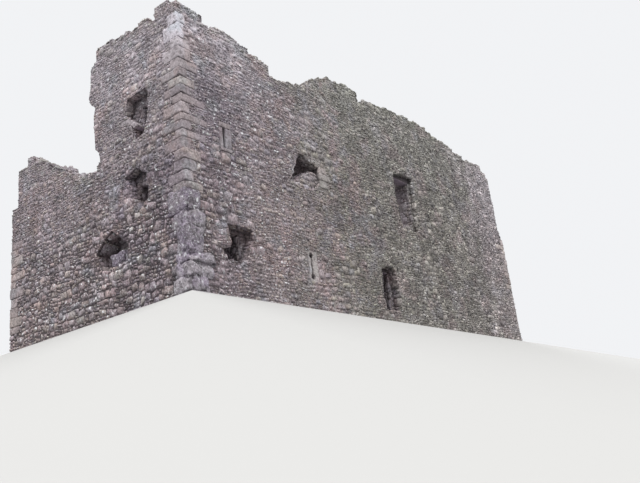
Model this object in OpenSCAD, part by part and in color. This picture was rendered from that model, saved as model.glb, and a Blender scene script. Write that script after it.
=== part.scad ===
// Ruined rectangular stone keep: a vaulted basement under an unroofed hall.
// The front wall faces -Y. Lengths along the walls are measured from the near
// corner, where the front wall meets the left end wall: x runs right along the
// front, y runs back into the keep and z runs up from the ground.

/* [Keep] */
// Length of the front wall
keep_l = 22000; // [20000:100:26000]
// Depth from the front wall to the back wall, over the stone
keep_w = 9000; // [8600:100:11000]
// Thickness of the four outer walls
wall_t = 1300; // [1200:20:1300]
// Thickness of the faced outer and inner skins of a wall
leaf_t = 350; // [300:10:400]
// Height of the hall floor above the ground
hall_z = 2950; // [2900:10:3200]
// Height of the best kept wall head above the ground
head_z = 9800; // [9400:50:10600]

/* [Broken wall heads] */
// Length of one broken step along a wall head
step_l = 560; // [400:20:800]
// Most that one step stands above or below the line of the break
step_rough = 85; // [20:5:140]
// How far the rubble core has weathered below the faced skins
core_fall = 140; // [40:10:240]
// Width of the part of the left end wall that stands to full height
tall_w = 4000; // [3800:50:4400]

/* [Corner stones] */
// Number of dressed stones standing in the near corner, from the hall floor up
quoin_count = 18; // [9:1:18]
// Mean height of a corner stone
quoin_h = 322; // [300:2:330]
// Longest arm of a corner stone along a wall
quoin_arm = 980; // [850:10:1050]
// Open joint under each dressed stone
joint = 12; // [8:1:20]

/* [Openings in the ground storey] */
// Distance of the lower window's middle from the near corner
low_window_x = 1950; // [1900:50:2300]
// Height of the lower window's sill above the ground
low_window_z = 1250; // [1100:50:1350]
// Width left of the lower window
low_window_w = 600; // [500:20:700]
// Height left of the lower window
low_window_h = 850; // [700:50:900]
// Distance of the gunloop's middle from the near corner
loop_x = 5310; // [5000:10:5800]
// Height of the lower roundel's middle above the ground
loop_z = 1130; // [1050:10:1250]
// Distance between the two roundels' middles
loop_h = 720; // [600:10:800]
// Width of the gunloop's slot
loop_w = 90; // [70:5:120]
// Diameter of a roundel
roundel_d = 210; // [180:10:240]
// Distance of the doorway's middle from the near corner
door_x = 10050; // [9600:50:10600]
// Height of the doorway's sill above the ground
door_z = 450; // [400:10:550]
// Clear width of the doorway
door_w = 900; // [800:20:1000]
// Clear height of the doorway
door_h = 1600; // [1450:10:1700]

/* [Openings in the hall storey] */
// Distance of the slit window's middle from the near corner
slit_x = 1640; // [1600:10:1900]
// Height of the slit window's sill above the hall floor
slit_up = 1700; // [1500:50:1900]
// Width of the slit
slit_w = 110; // [90:5:150]
// Height of the slit
slit_h = 660; // [560:10:760]
// Distance of the breached window's middle from the near corner
breach_x = 5600; // [5300:50:5900]
// Height of the breached window's sill above the hall floor
breach_up = 1450; // [1350:50:1600]
// Distance of the tall hall window's middle from the near corner
hall_window_x = 12300; // [12000:50:12600]
// Height of the tall hall window's sill above the hall floor
hall_window_up = 1100; // [1000:50:1250]
// Width of the tall hall window between its jambs
hall_window_w = 1300; // [1100:20:1400]
// Height of the tall hall window
hall_window_h = 2350; // [2100:50:2450]

/* [Openings in the left end wall] */
// Distance of the upper end window's middle from the front face
end_high_y = 1870; // [1840:10:1950]
// Height of the upper end window's sill above the hall floor
end_high_up = 2650; // [2550:50:2750]
// Distance of the lower end window's middle from the front face
end_low_y = 2150; // [2050:10:2250]
// Height of the lower end window's sill above the hall floor
end_low_up = 250; // [200:10:350]
// Distance of the dug-out hollow's middle from the front face
hollow_y = 3400; // [3200:50:3600]
// Height of the hollow's floor above the ground
hollow_z = 1500; // [1400:50:1600]
// Depth of the hollow into the wall
hollow_d = 700; // [500:50:800]

/* [Dressed windows] */
// Width of a jamb stone on the wall's face
jamb_w = 280; // [220:10:340]
// Height of a lintel
lintel_h = 260; // [200:10:320]
// Height of a sill stone
sill_h = 180; // [140:10:220]
// Widening of a window or loop on each side, from its outer skin to the room
splay = 260; // [150:10:300]
// Rise of the segmental arch over a window's inner side
arch_rise = 220; // [120:10:280]

/* [Basement] */
// Height of the basement floor above the ground
basement_z = 300; // [200:10:350]
// Height above the ground at which the vault springs from the walls
spring_z = 1100; // [1000:50:1200]
// Thickness of the vault at its crown
crown_t = 280; // [220:10:320]
// Thickness of the hall's paving
paving_t = 120; // [90:5:150]

/* [Hidden] */
$fn = 48;
// Segments of the large arcs of the vault and the window arches
fine = 96;

// Clearance by which a cutter passes a face it cuts through
cut = 20;
// Joint lines that part the front wall into bays, from the near corner
bay_1 = 3600;
bay_2 = 8000;
bay_3 = 14200;
// Joint lines that part the back wall into bays, from the left end
back_bay_1 = 6600;
back_bay_2 = 14600;
back_ground_bay = 10600;
// Level at which the vault's mass ends under the paving
vault_top = hall_z - paving_t;
vault_crown = vault_top - crown_t;
room_w = keep_w - 2 * wall_t;
vault_rise = vault_crown - spring_z;
vault_r = (pow(room_w / 2, 2) + pow(vault_rise, 2)) / (2 * vault_rise);
// How far a ground storey embrasure is carried on through the vault's haunch
haunch_d = 1700;

// Sill levels above the ground
slit_z = hall_z + slit_up;
breach_z = hall_z + breach_up;
hall_sill_z = hall_z + hall_window_up;
end_high_z = hall_z + end_high_up;
end_low_z = hall_z + end_low_up;
// Clear width and height of the breached window behind its broken skin
breach_w = 900;
breach_h = 900;
// Clear width and height of the two windows in the left end wall
end_high_w = 450;
end_high_h = 850;
end_low_w = 420;
end_low_h = 700;
// Widths of the gunloop's left and right slabs, their height past the roundels'
// middles, and the width of the embrasure behind them
loop_slabs = [180, 300];
loop_slab_over = 170;
loop_room_w = 500;
// Widths of the slit's left and right jambs, and heights of its lintel and sill
slit_jambs = [130, 230];
slit_lintel_h = 180;
slit_sill_h = 120;
// Bearing of the two lintels past their openings
door_lintel_over = 300;
hall_lintel_over = 220;
// Dressed jamb stones that remain beside the breach, from its middle and sill:
// level, height, length
breach_jamb = [[100, 300, 420], [400, 260, 620], [660, 240, 400]];
breach_jamb_off = 690;
// Curved stone left beside the upper end window: middle of its curve from the
// middle of the sill, outer radius, thickness, and the angles it spans
arch_off = [750, -180];
arch_r = 640;
arch_t = 130;
arch_span = [75, 155];
arch_stone_d = 330;
// Whole windows and slits of the unseen sides, by the middle of each one
back_windows = [4300, 10400, 17600];
back_slits = [5200, 16000];
right_window_y = 4400;
back_w = 900;
back_h = 1500;
back_up = 1300;
jamb_courses = 3;
back_slit_w = 120;
back_slit_h = 700;
back_slit_z = 1200;
// Start and number of the stones in the far front and the two back corners
far_quoin_z = 2700;
far_quoin_count = 9;
back_right_z = 600;
back_right_count = 18;
back_left_count = 11;

// Corner stones from the lowest up: height as a share of the mean, then the arms
// along the front and along the end as shares of the longest arm
quoin_share = [
    [0.72, 0.62, 0.55], [1.02, 0.28, 0.7], [1.06, 0.43, 0.45], [1.02, 0.62, 0.4], [1.09, 0.28, 0.8],
    [0.8, 0.88, 0.3], [0.87, 0.3, 0.85], [0.7, 1, 0.35], [1.1, 0.29, 0.75], [0.83, 0.95, 0.4],
    [0.9, 0.35, 0.7], [0.87, 0.56, 0.5], [0.87, 0.29, 0.8], [1, 0.7, 0.35], [1.2, 0.44, 0.65],
    [1, 0.47, 0.3], [1.55, 0.24, 0.6], [1.12, 0.33, 0.4]
];
// Boulders that stand in for the robbed foot of the near corner, from the lowest
// up: height as a share of the hall floor's, arms as shares of the longest arm
foot_share = [
    [0.145, 0.57, 0.63], [0.135, 0.73, 0.51], [0.11, 0.88, 0.49], [0.24, 0.51, 0.44],
    [0.15, 0.65, 0.57], [0.22, 0.43, 0.71]
];
// Heaps of fallen stone in the two hall windows, from the middle of each one's sill
breach_heap = [
    [-440, 0], [440, 0], [440, 560], [300, 640], [60, 560], [-120, 330], [-440, 150]
];
hall_heap = [
    [-640, 0], [640, 0], [640, 470], [330, 320], [-40, 190], [-350, 80], [-640, 130]
];
// Fallen stone that has run forward into the robbed face of the breach, and how far
// behind the face it lies
breach_spill = [
    [-900, -200], [900, -200], [900, 520], [560, 640], [320, 620], [80, 540], [-120, 380],
    [-300, 300], [-520, 110], [-900, 60]
];
spill_from = 90;
// Boulder that lies in the hollow, from the middle of its floor
boulder = [[-480, 0], [160, 0], [230, 200], [60, 430], [-180, 520], [-440, 300]];
boulder_x = 120;
// Ragged edge of the robbed far corner: how far it is broken back, and the height
// above the last stone left there
far_robbed_edge = [[160, 0], [220, 420], [330, 480], [280, 1900], [360, 2400]];
// How far the core and the inner skin reach past the ragged standing edge
edge_spread = [0, 120, 40];
// Colours of the stone
rubble = [0.47, 0.41, 0.40];
freestone = [0.62, 0.58, 0.50];
bluestone = [0.42, 0.43, 0.46];
flagstone = [0.40, 0.38, 0.36];

// Fall of the front wall's head below head_z, along the wall
front_fall = [
    [0, 900], [500, 720], [900, 900], [1150, 1150], [1650, 1080], [2200, 850], [2650, 1100],
    [3800, 1280], [4150, 1640], [4950, 1730], [5600, 1500], [6450, 1180], [6650, 780],
    [7700, 450], [9200, 220], [9500, 560], [9950, 780], [10600, 330], [13200, 230],
    [14400, 0], [16500, 300], [19200, 580], [keep_l - 1300, 380], [keep_l - 900, 720],
    [keep_l - 300, 920], [keep_l, 1000]
];
// Fall of the front wall's core beside the near corner, where it stands proud
corner_fall = [[0, 520], [750, 600], [1350, 1250], [2200, 1000], [bay_1, 1400]];
// Fall of the left end wall's head, along y
left_fall = [
    [0, 850], [620, 430], [1150, 620], [1650, 800], [2500, 640], [tall_w, 600]
];
// Fall of the broken part of the left end wall, along y
broken_fall = [
    [tall_w, 4850], [tall_w + 650, 4950], [tall_w + 1100, 4870], [tall_w + 1500, 4630],
    [tall_w + 2050, 4330], [tall_w + 2550, 3950], [keep_w - 1750, 3300], [keep_w, 3100]
];
// Ragged standing edge of the tall part: offset along y and fall, from its foot up
tall_edge = [
    [0, 4750], [-150, 4650], [-100, 4300], [90, 4150], [150, 3000], [50, 2650],
    [250, 2500], [400, 2200], [300, 1900], [250, 1150], [-50, 1000]
];
// Fall of the back wall's head, for its inner and outer skins
back_fall = [
    [0, 3000], [1800, 3350], [3000, 2750], [4200, 2400], [5600, 2100], [7200, 1500],
    [9000, 1050], [11000, 1350], [13500, 900], [15500, 650], [17500, 1100],
    [keep_l - 2500, 800], [keep_l - 1000, 500], [keep_l, 750]
];
back_skin_fall = [
    [0, 4750], [900, 4400], [1800, 4050], [3000, 3300], [5000, 2500], [7200, 1700],
    [9000, 1200], [11000, 1500], [13500, 1000], [15500, 800], [17500, 1250],
    [keep_l - 2500, 950], [keep_l - 1000, 650], [keep_l, 900]
];
// Fall of the right end wall's head, along y
right_fall = [
    [0, 900], [wall_t, 700], [3000, 760], [4300, 1250], [5400, 1000], [keep_w - wall_t, 620], [keep_w, 800]
];

// Broken outlines of the robbed openings, from the middle of each one's sill
low_window_edge = [
    [-450, 950], [50, 1000], [580, 950], [640, 650], [440, 300], [300, -20], [-150, -350],
    [-540, -150], [-740, 150], [-340, 330]
];
doorway_edge = [
    [-500, 1200], [-480, 1550], [-50, 1820], [420, 1760], [560, 1300], [640, 600],
    [600, -20], [-470, -20], [-600, 650]
];
breach_edge = [
    [-840, 190], [-530, 820], [-380, 1110], [-90, 1160], [150, 970], [730, 870], [700, 300],
    [400, -40], [150, -120], [-480, -180], [-960, -30]
];
hall_window_edge = [
    [-780, 2400], [-120, 2530], [820, 2600], [760, 1600], [720, 560], [300, 90],
    [-300, -80], [-660, 350], [-820, 1250]
];
end_high_edge = [
    [-450, 1000], [-320, 1180], [180, 1150], [550, 1120], [630, 800], [750, 600], [430, 370],
    [350, 0], [330, -330], [110, -400], [-170, -300], [-350, 100], [-430, 550]
];
end_low_edge = [
    [-60, 1110], [530, 950], [320, 620], [60, 560], [80, 150], [-90, -250],
    [-520, -40], [-620, 330], [-480, 480], [-500, 800]
];
hollow_edge = [
    [-50, 1180], [-820, 560], [-760, 0], [420, 0], [760, 600], [380, 980]
];

// One chance number for step i, between -1 and 1
function chance(seed, i) = rands(-1, 1, 1, seed * 97 + i * 13)[0];

// Stepped break from a to b that follows a table of falls below datum. The number of
// steps grows with the seed's last digit, so no two skins of a wall break at one place.
function steps(a, b, seed, table, datum) =
    let (n = max(1, round((b - a) / step_l)) + seed % 10, w = (b - a) / n)
    [
        for (i = [0 : n - 1])
            let (
                z = datum - lookup(a + (i + 0.5) * w, table) + step_rough * chance(seed, i),
                tilt = step_rough / 2 * chance(seed + 5, i)
            )
            each [[a + i * w, z - tilt], [a + (i + 1) * w, z + tilt]]
    ];

// Moves from the near corner to the keep's own frame, on the middle of its base
module from_corner() {
    translate([-keep_l / 2, -keep_w / 2, 0]) children();
}

// Pushes an outline drawn in x and z from depth y0 to depth y1
module front_slab(y0, y1) {
    translate([0, y1, 0]) rotate([90, 0, 0]) linear_extrude(y1 - y0) children();
}

// Pushes an outline drawn in y and z from x0 to x1
module end_slab(x0, x1) {
    translate([x0, 0, 0]) rotate([90, 0, 90]) linear_extrude(x1 - x0) children();
}

// Outline of a wall between a and b, from z0 up to its broken head
module headed(a, b, z0, seed, table, datum) {
    polygon(concat([[a, z0]], steps(a, b, seed, table, datum), [[b, z0]]));
}

// Outline moved to the middle of an opening's sill
module at_sill(x, z, edge) {
    translate([x, z]) polygon(edge);
}

// Passage in plan that widens behind the outer skin, cut from sill to head
module passage(x, z, w, h) {
    translate([0, 0, z])
        linear_extrude(h)
            polygon([
                [x - w / 2, -cut], [x + w / 2, -cut], [x + w / 2, leaf_t],
                [x + w / 2 + splay, wall_t + cut], [x - w / 2 - splay, wall_t + cut],
                [x - w / 2, leaf_t]
            ]);
}

// The same passage with a segmental arch over its inner side
module arched_passage(x, z, w, h) {
    half = w / 2 + splay;
    r = (half * half + arch_rise * arch_rise) / (2 * arch_rise);
    passage(x, z, w, h);
    intersection() {
        passage(x, z, w, h + arch_rise);
        front_slab(leaf_t, wall_t + cut)
            intersection() {
                translate([x, z + h + arch_rise - r]) circle(r, $fn = fine);
                translate([x - half, z]) square([2 * half, h + arch_rise]);
            }
    }
}

// Embrasure carried on through the haunch of the vault
module haunch_cut(x, z, w, h) {
    translate([x - w / 2 - splay, wall_t - cut, z]) cube([w + 2 * splay, haunch_d, h]);
}

// Places a shape drawn for the front wall on the back wall
module on_back() {
    translate([0, keep_w, 0]) mirror([0, 1, 0]) children();
}

// Places a shape drawn for the front wall on the right end wall
module on_right_end() {
    translate([keep_l, 0, 0]) rotate([0, 0, 90]) children();
}

// Ground storey of the front wall between two bay lines
module front_ground(a, b) {
    translate([a, 0, 0]) cube([b - a, wall_t, hall_z]);
}

// Hall storey of the front wall between two bay lines: two skins and a lower core
module front_hall(a, b, seed, core_table, core_drop) {
    front_slab(0, leaf_t) headed(a, b, hall_z, seed, front_fall, head_z);
    front_slab(leaf_t, wall_t - leaf_t)
        headed(a, b, hall_z, seed + 1, core_table, head_z - core_drop);
    front_slab(wall_t - leaf_t, wall_t)
        headed(a, b, hall_z, seed + 2, front_fall, head_z - core_fall / 2);
}

// Level of corner stone i above the lowest one's bed
function quoin_base(i) = i == 0 ? 0 : quoin_base(i - 1) + quoin_h * quoin_share[i - 1][0];

// Corner stones with faces along x and y; grow fills the joint under each one
module quoin_chain(count, grow) {
    for (i = [0 : count - 1])
        translate([0, 0, quoin_base(i) + joint - grow])
            cube([
                quoin_arm * quoin_share[i][1], quoin_arm * quoin_share[i][2],
                quoin_h * quoin_share[i][0] - joint + grow
            ]);
}
module near_chain(grow) {
    translate([0, 0, hall_z]) quoin_chain(quoin_count, grow);
}

// Corner of the far front end: stones below, robbed and broken back above
module far_chain(grow) {
    translate([keep_l, 0, far_quoin_z]) mirror([1, 0, 0]) quoin_chain(far_quoin_count, grow);
}
module far_robbed() {
    top = far_quoin_z + quoin_base(far_quoin_count);
    back = far_robbed_edge[len(far_robbed_edge) - 1][0] - far_robbed_edge[0][0] / 2;
    front_slab(-cut, quoin_arm * 0.7)
        polygon(concat(
            [[keep_l + cut, top]],
            [for (p = far_robbed_edge) [keep_l - p[0], top + p[1]]],
            [[keep_l - back, head_z], [keep_l + cut, head_z]]
        ));
}

// Stones of the two back corners
module back_right_chain(grow) {
    translate([keep_l, keep_w, back_right_z])
        mirror([1, 0, 0]) mirror([0, 1, 0]) quoin_chain(back_right_count, grow);
}
module back_left_chain(grow) {
    translate([0, keep_w, back_right_z]) mirror([0, 1, 0]) quoin_chain(back_left_count, grow);
}

// Boulders in the foot of the near corner
function foot_base(i) = i == 0 ? 0 : foot_base(i - 1) + hall_z * foot_share[i - 1][0];
module foot_chain(grow) {
    for (i = [0 : len(foot_share) - 1]) {
        low = max(0, foot_base(i) + joint - grow);
        high = foot_base(i) + hall_z * foot_share[i][0];
        translate([0, 0, low])
            cube([quoin_arm * foot_share[i][1], quoin_arm * foot_share[i][2], high - low]);
    }
}

// Stones round the slit: two jambs, a lintel and a sill, with the slit between them
module slit_block() {
    translate([slit_x - slit_w / 2 - slit_jambs[0], 0, slit_z - slit_sill_h])
        cube([slit_w + slit_jambs[0] + slit_jambs[1], leaf_t, slit_sill_h + slit_h + slit_lintel_h]);
}

// Pair of upright slabs that hold the roundel ended loop
module loop_block() {
    translate([loop_x - loop_slabs[0], 0, loop_z - loop_slab_over])
        cube([loop_slabs[0] + loop_slabs[1], leaf_t, loop_h + 2 * loop_slab_over]);
}
module loop_shape() {
    front_slab(-cut, leaf_t + cut) {
        translate([loop_x, loop_z]) circle(d = roundel_d);
        translate([loop_x, loop_z + loop_h]) circle(d = roundel_d);
        translate([loop_x - loop_w / 2, loop_z]) square([loop_w, loop_h]);
    }
}
module loop_embrasure() {
    translate([0, 0, loop_z - loop_slab_over / 2])
        linear_extrude(loop_h + loop_slab_over)
            polygon([
                [loop_x - loop_room_w / 2, leaf_t], [loop_x + loop_room_w / 2, leaf_t],
                [loop_x + loop_room_w / 2 + splay, wall_t + cut],
                [loop_x - loop_room_w / 2 - splay, wall_t + cut]
            ]);
}

// Lintels over the doorway and the tall hall window
module door_lintel_block() {
    translate([door_x - door_w / 2 - door_lintel_over, leaf_t, door_z + door_h])
        cube([door_w + 2 * door_lintel_over, leaf_t, lintel_h]);
}
module hall_lintel_block() {
    translate([hall_window_x - hall_window_w / 2 - hall_lintel_over, leaf_t / 2, hall_sill_z + hall_window_h])
        cube([hall_window_w + 2 * hall_lintel_over, leaf_t, lintel_h]);
}

// Dressed jamb stones that remain beside the breach
module breach_jamb_chain(grow) {
    for (s = breach_jamb)
        translate([breach_x + breach_jamb_off, 0, breach_z + s[0] + joint - grow])
            cube([s[2], leaf_t, s[1] - joint + grow]);
}

// Curved stone beside the upper end window, from the wall's face or past it
module arch_stone(front) {
    from = arch_span[0];
    to = arch_span[1];
    end_slab(front, arch_stone_d)
        translate([end_high_y + arch_off[0], end_high_z + arch_off[1]])
            intersection() {
                difference() {
                    circle(arch_r);
                    circle(arch_r - arch_t);
                }
                polygon([[0, 0], for (a = [from, to]) 2 * arch_r * [cos(a), sin(a)]]);
            }
}

// Surround of a whole window on an unseen side: lintel, sill and jamb stones
module surround_seat(x, z, w, h) {
    translate([x - w / 2 - jamb_w, 0, z - sill_h]) cube([w + 2 * jamb_w, leaf_t, sill_h + h + lintel_h]);
}
module surround(x, z, w, h) {
    course = h / jamb_courses;
    translate([x - w / 2 - jamb_w, 0, z - sill_h]) cube([w + 2 * jamb_w, leaf_t, sill_h - joint]);
    translate([x - w / 2 - jamb_w, 0, z + h]) cube([w + 2 * jamb_w, leaf_t, lintel_h]);
    for (side = [-1, 1], i = [0 : jamb_courses - 1])
        translate([x + side * (w + jamb_w) / 2 - jamb_w / 2, 0, z + i * course])
            cube([jamb_w, leaf_t, course - joint]);
}

// Front wall, ground storey
module front_ground_left() {
    color(rubble)
        from_corner()
            difference() {
                front_ground(0, bay_1);
                foot_chain(joint);
                front_slab(-cut, leaf_t) at_sill(low_window_x, low_window_z, low_window_edge);
                passage(low_window_x, low_window_z, low_window_w, low_window_h);
            }
}
module front_ground_loop_bay() {
    color(rubble)
        from_corner()
            difference() {
                front_ground(bay_1, bay_2);
                loop_block();
                loop_embrasure();
            }
}
module front_ground_door_bay() {
    color(rubble)
        from_corner()
            difference() {
                front_ground(bay_2, bay_3);
                front_slab(-cut, leaf_t) at_sill(door_x, door_z, doorway_edge);
                passage(door_x, door_z, door_w, door_h);
                door_lintel_block();
                doorway_step();
            }
}
module front_ground_right() {
    color(rubble)
        from_corner()
            difference() {
                front_ground(bay_3, keep_l);
                far_chain(joint);
            }
}

// Front wall, hall storey
module front_hall_left() {
    color(rubble)
        from_corner()
            difference() {
                front_hall(0, bay_1, 1, corner_fall, 0);
                near_chain(joint);
                slit_block();
                passage(slit_x, slit_z, slit_w, slit_h);
            }
}
module front_hall_breach_bay() {
    color(rubble)
        from_corner()
            difference() {
                front_hall(bay_1, bay_2, 11, front_fall, core_fall);
                front_slab(-cut, leaf_t) at_sill(breach_x, breach_z, breach_edge);
                arched_passage(breach_x, breach_z, breach_w, breach_h);
                breach_jamb_chain(joint);
            }
}
module front_hall_window_bay() {
    color(rubble)
        from_corner()
            difference() {
                front_hall(bay_2, bay_3, 21, front_fall, core_fall);
                front_slab(-cut, leaf_t / 2) at_sill(hall_window_x, hall_sill_z, hall_window_edge);
                passage(hall_window_x, hall_sill_z, hall_window_w, hall_window_h);
                hall_lintel_block();
            }
}
module front_hall_right() {
    color(rubble)
        from_corner()
            difference() {
                front_hall(bay_3, keep_l, 31, front_fall, core_fall);
                far_chain(joint);
                far_robbed();
            }
}

// Left end wall
module left_end_ground() {
    color(rubble)
        from_corner()
            difference() {
                translate([0, wall_t, 0]) cube([wall_t, room_w, hall_z]);
                end_slab(-cut, hollow_d) at_sill(hollow_y, hollow_z, hollow_edge);
            }
}
function edge_points(spread) = [for (p = tall_edge) [tall_w + p[0] + spread, head_z - p[1]]];
module tall_outline(seed, drop, spread) {
    top = steps(wall_t, edge_points(spread)[len(tall_edge) - 1][0], seed, left_fall, head_z - drop);
    rev = [for (i = [len(top) - 1 : -1 : 0]) top[i]];
    polygon(concat([[wall_t, hall_z], [tall_w, hall_z]], edge_points(spread), rev));
}
module left_end_tall() {
    color(rubble)
        from_corner()
            difference() {
                union() {
                    end_slab(0, leaf_t) tall_outline(41, 0, edge_spread[0]);
                    end_slab(leaf_t, wall_t - leaf_t) tall_outline(42, core_fall, edge_spread[1]);
                    end_slab(wall_t - leaf_t, wall_t) tall_outline(43, core_fall / 2, edge_spread[2]);
                }
                end_slab(-cut, leaf_t) at_sill(end_high_y, end_high_z, end_high_edge);
                end_slab(-cut, leaf_t) at_sill(end_low_y, end_low_z, end_low_edge);
                end_passage(end_high_y, end_high_z, end_high_w, end_high_h);
                end_passage(end_low_y, end_low_z, end_low_w, end_low_h);
                arch_stone(-cut);
            }
}
module end_passage(y, z, w, h) {
    translate([-cut, y - w / 2, z]) cube([wall_t + 2 * cut, w, h]);
}
module left_end_broken() {
    color(rubble)
        from_corner() {
            end_slab(0, leaf_t) broken_outline(51, 0);
            end_slab(leaf_t, wall_t - leaf_t) broken_outline(52, core_fall);
            end_slab(wall_t - leaf_t, wall_t) broken_outline(53, core_fall / 2);
        }
}
module broken_outline(seed, drop) {
    headed(tall_w, keep_w - wall_t, hall_z, seed, broken_fall, head_z - drop);
}

// Back wall
module back_ground(a, b) {
    difference() {
        translate([a, keep_w - wall_t, 0]) cube([b - a, wall_t, hall_z]);
        back_right_chain(joint);
        back_left_chain(joint);
        for (x = back_slits) on_back() passage(x, back_slit_z, back_slit_w, back_slit_h);
    }
}
module back_hall(a, b, seed) {
    y0 = keep_w - wall_t;
    difference() {
        union() {
            front_slab(y0, y0 + leaf_t) headed(a, b, hall_z, seed, back_fall, head_z);
            front_slab(y0 + leaf_t, keep_w - leaf_t)
                headed(a, b, hall_z, seed + 1, back_fall, head_z - core_fall);
            front_slab(keep_w - leaf_t, keep_w)
                headed(a, b, hall_z, seed + 2, back_skin_fall, head_z);
        }
        back_right_chain(joint);
        back_left_chain(joint);
        for (x = back_windows)
            on_back() {
                surround_seat(x, hall_z + back_up, back_w, back_h);
                arched_passage(x, hall_z + back_up, back_w, back_h);
            }
    }
}
module back_ground_left() {
    color(rubble) from_corner() back_ground(0, back_ground_bay);
}
module back_ground_right() {
    color(rubble) from_corner() back_ground(back_ground_bay, keep_l);
}
module back_hall_left() {
    color(rubble) from_corner() back_hall(0, back_bay_1, 61);
}
module back_hall_middle() {
    color(rubble) from_corner() back_hall(back_bay_1, back_bay_2, 71);
}
module back_hall_right() {
    color(rubble) from_corner() back_hall(back_bay_2, keep_l, 81);
}

// Right end wall
module right_end_ground() {
    color(rubble)
        from_corner()
            translate([keep_l - wall_t, wall_t, 0]) cube([wall_t, room_w, hall_z]);
}
module right_end_hall() {
    color(rubble)
        from_corner()
            difference() {
                union() {
                    end_slab(keep_l - leaf_t, keep_l) right_outline(91, 0);
                    end_slab(keep_l - wall_t + leaf_t, keep_l - leaf_t) right_outline(92, core_fall);
                    end_slab(keep_l - wall_t, keep_l - wall_t + leaf_t) right_outline(93, core_fall / 2);
                }
                on_right_end() {
                    surround_seat(right_window_y, hall_z + back_up, back_w, back_h);
                    arched_passage(right_window_y, hall_z + back_up, back_w, back_h);
                }
            }
}
module right_outline(seed, drop) {
    headed(wall_t, keep_w - wall_t, hall_z, seed, right_fall, head_z - drop);
}

// Basement and hall floors
module basement_vault() {
    color(rubble)
        from_corner()
            difference() {
                translate([wall_t, wall_t, spring_z])
                    cube([keep_l - 2 * wall_t, room_w, vault_top - spring_z]);
                end_slab(wall_t - cut, keep_l - wall_t + cut)
                    translate([keep_w / 2, vault_crown - vault_r]) circle(vault_r, $fn = fine);
                haunch_cut(low_window_x, low_window_z, low_window_w, low_window_h);
                haunch_cut(loop_x, loop_z - loop_slab_over / 2, loop_room_w, loop_h + loop_slab_over);
                haunch_cut(door_x, door_z, door_w, door_h);
                for (x = back_slits) on_back() haunch_cut(x, back_slit_z, back_slit_w, back_slit_h);
            }
}
module basement_floor() {
    color(flagstone)
        from_corner()
            translate([wall_t, wall_t, 0]) cube([keep_l - 2 * wall_t, room_w, basement_z]);
}
module hall_paving() {
    color(flagstone)
        from_corner()
            translate([wall_t, wall_t, vault_top]) cube([keep_l - 2 * wall_t, room_w, paving_t]);
}

// Dressed stones
module near_quoins() {
    color(freestone) from_corner() near_chain(0);
}
module far_front_quoins() {
    color(freestone) from_corner() far_chain(0);
}
module back_quoins() {
    color(freestone)
        from_corner() {
            back_right_chain(0);
            back_left_chain(0);
        }
}
module corner_foot_stones() {
    color(bluestone) from_corner() foot_chain(0);
}
module slit_surround() {
    color(freestone)
        from_corner()
            difference() {
                slit_block();
                translate([slit_x - slit_w / 2, -cut, slit_z]) cube([slit_w, leaf_t + 2 * cut, slit_h]);
                for (z = [slit_z - joint, slit_z + slit_h])
                    translate([slit_x - slit_w / 2 - slit_jambs[0] - cut, -cut, z])
                        cube([slit_w + slit_jambs[0] + slit_jambs[1] + 2 * cut, leaf_t + 2 * cut, joint]);
            }
}
module gunloop_slabs() {
    color(freestone)
        from_corner()
            difference() {
                loop_block();
                loop_shape();
                translate([loop_x - joint / 2, -cut, 0]) cube([joint, leaf_t + 2 * cut, hall_z]);
            }
}
module doorway_lintel() {
    color(freestone) from_corner() door_lintel_block();
}
module doorway_step() {
    translate([door_x - door_w / 2, leaf_t, door_z - sill_h]) cube([door_w, leaf_t, sill_h]);
}
module doorway_threshold() {
    color(freestone) from_corner() doorway_step();
}
module breach_jamb_stones() {
    color(freestone) from_corner() breach_jamb_chain(0);
}
module breach_rubble() {
    color(rubble)
        from_corner()
            difference() {
                union() {
                    front_slab(leaf_t, wall_t - leaf_t) at_sill(breach_x, breach_z, breach_heap);
                    front_slab(spill_from, leaf_t)
                        intersection() {
                            at_sill(breach_x, breach_z, breach_edge);
                            at_sill(breach_x, breach_z, breach_spill);
                        }
                }
                breach_jamb_chain(joint);
            }
}
module hall_window_lintel() {
    color(freestone) from_corner() hall_lintel_block();
}
module hall_window_rubble() {
    color(rubble)
        from_corner()
            front_slab(leaf_t / 2, wall_t - leaf_t * 2)
                at_sill(hall_window_x, hall_sill_z, hall_heap);
}
module end_window_arch_stone() {
    color(freestone) from_corner() arch_stone(0);
}
module hollow_boulder() {
    color(bluestone)
        from_corner()
            end_slab(boulder_x, hollow_d) at_sill(hollow_y, hollow_z, boulder);
}
module back_window_surrounds() {
    color(freestone)
        from_corner()
            for (x = back_windows) on_back() surround(x, hall_z + back_up, back_w, back_h);
}
module right_end_window_surround() {
    color(freestone) from_corner() on_right_end() surround(right_window_y, hall_z + back_up, back_w, back_h);
}

front_ground_left();
front_ground_loop_bay();
front_ground_door_bay();
front_ground_right();
front_hall_left();
front_hall_breach_bay();
front_hall_window_bay();
front_hall_right();
left_end_ground();
left_end_tall();
left_end_broken();
back_ground_left();
back_ground_right();
back_hall_left();
back_hall_middle();
back_hall_right();
right_end_ground();
right_end_hall();
basement_vault();
basement_floor();
hall_paving();
near_quoins();
far_front_quoins();
back_quoins();
corner_foot_stones();
slit_surround();
gunloop_slabs();
doorway_lintel();
doorway_threshold();
breach_jamb_stones();
breach_rubble();
hall_window_lintel();
hall_window_rubble();
end_window_arch_stone();
hollow_boulder();
back_window_surrounds();
right_end_window_surround();
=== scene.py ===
# %% [markdown]
# # Dressing a ruined castle keep
#
# The packed model gives this roofless keep as plain solids: walls at their real
# thickness, a vault, floors and dressed stones. In this lesson each bare wall face is
# laid stone by stone, the dressed stones are worn, and the broken heads get loose stones
# and moss. The walls themselves stay in view between the stones, as mortar. All lengths
# are metres, in the model's own frame: x runs to the right along the front wall, y from
# the front wall to the back wall and z up from the base.

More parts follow.
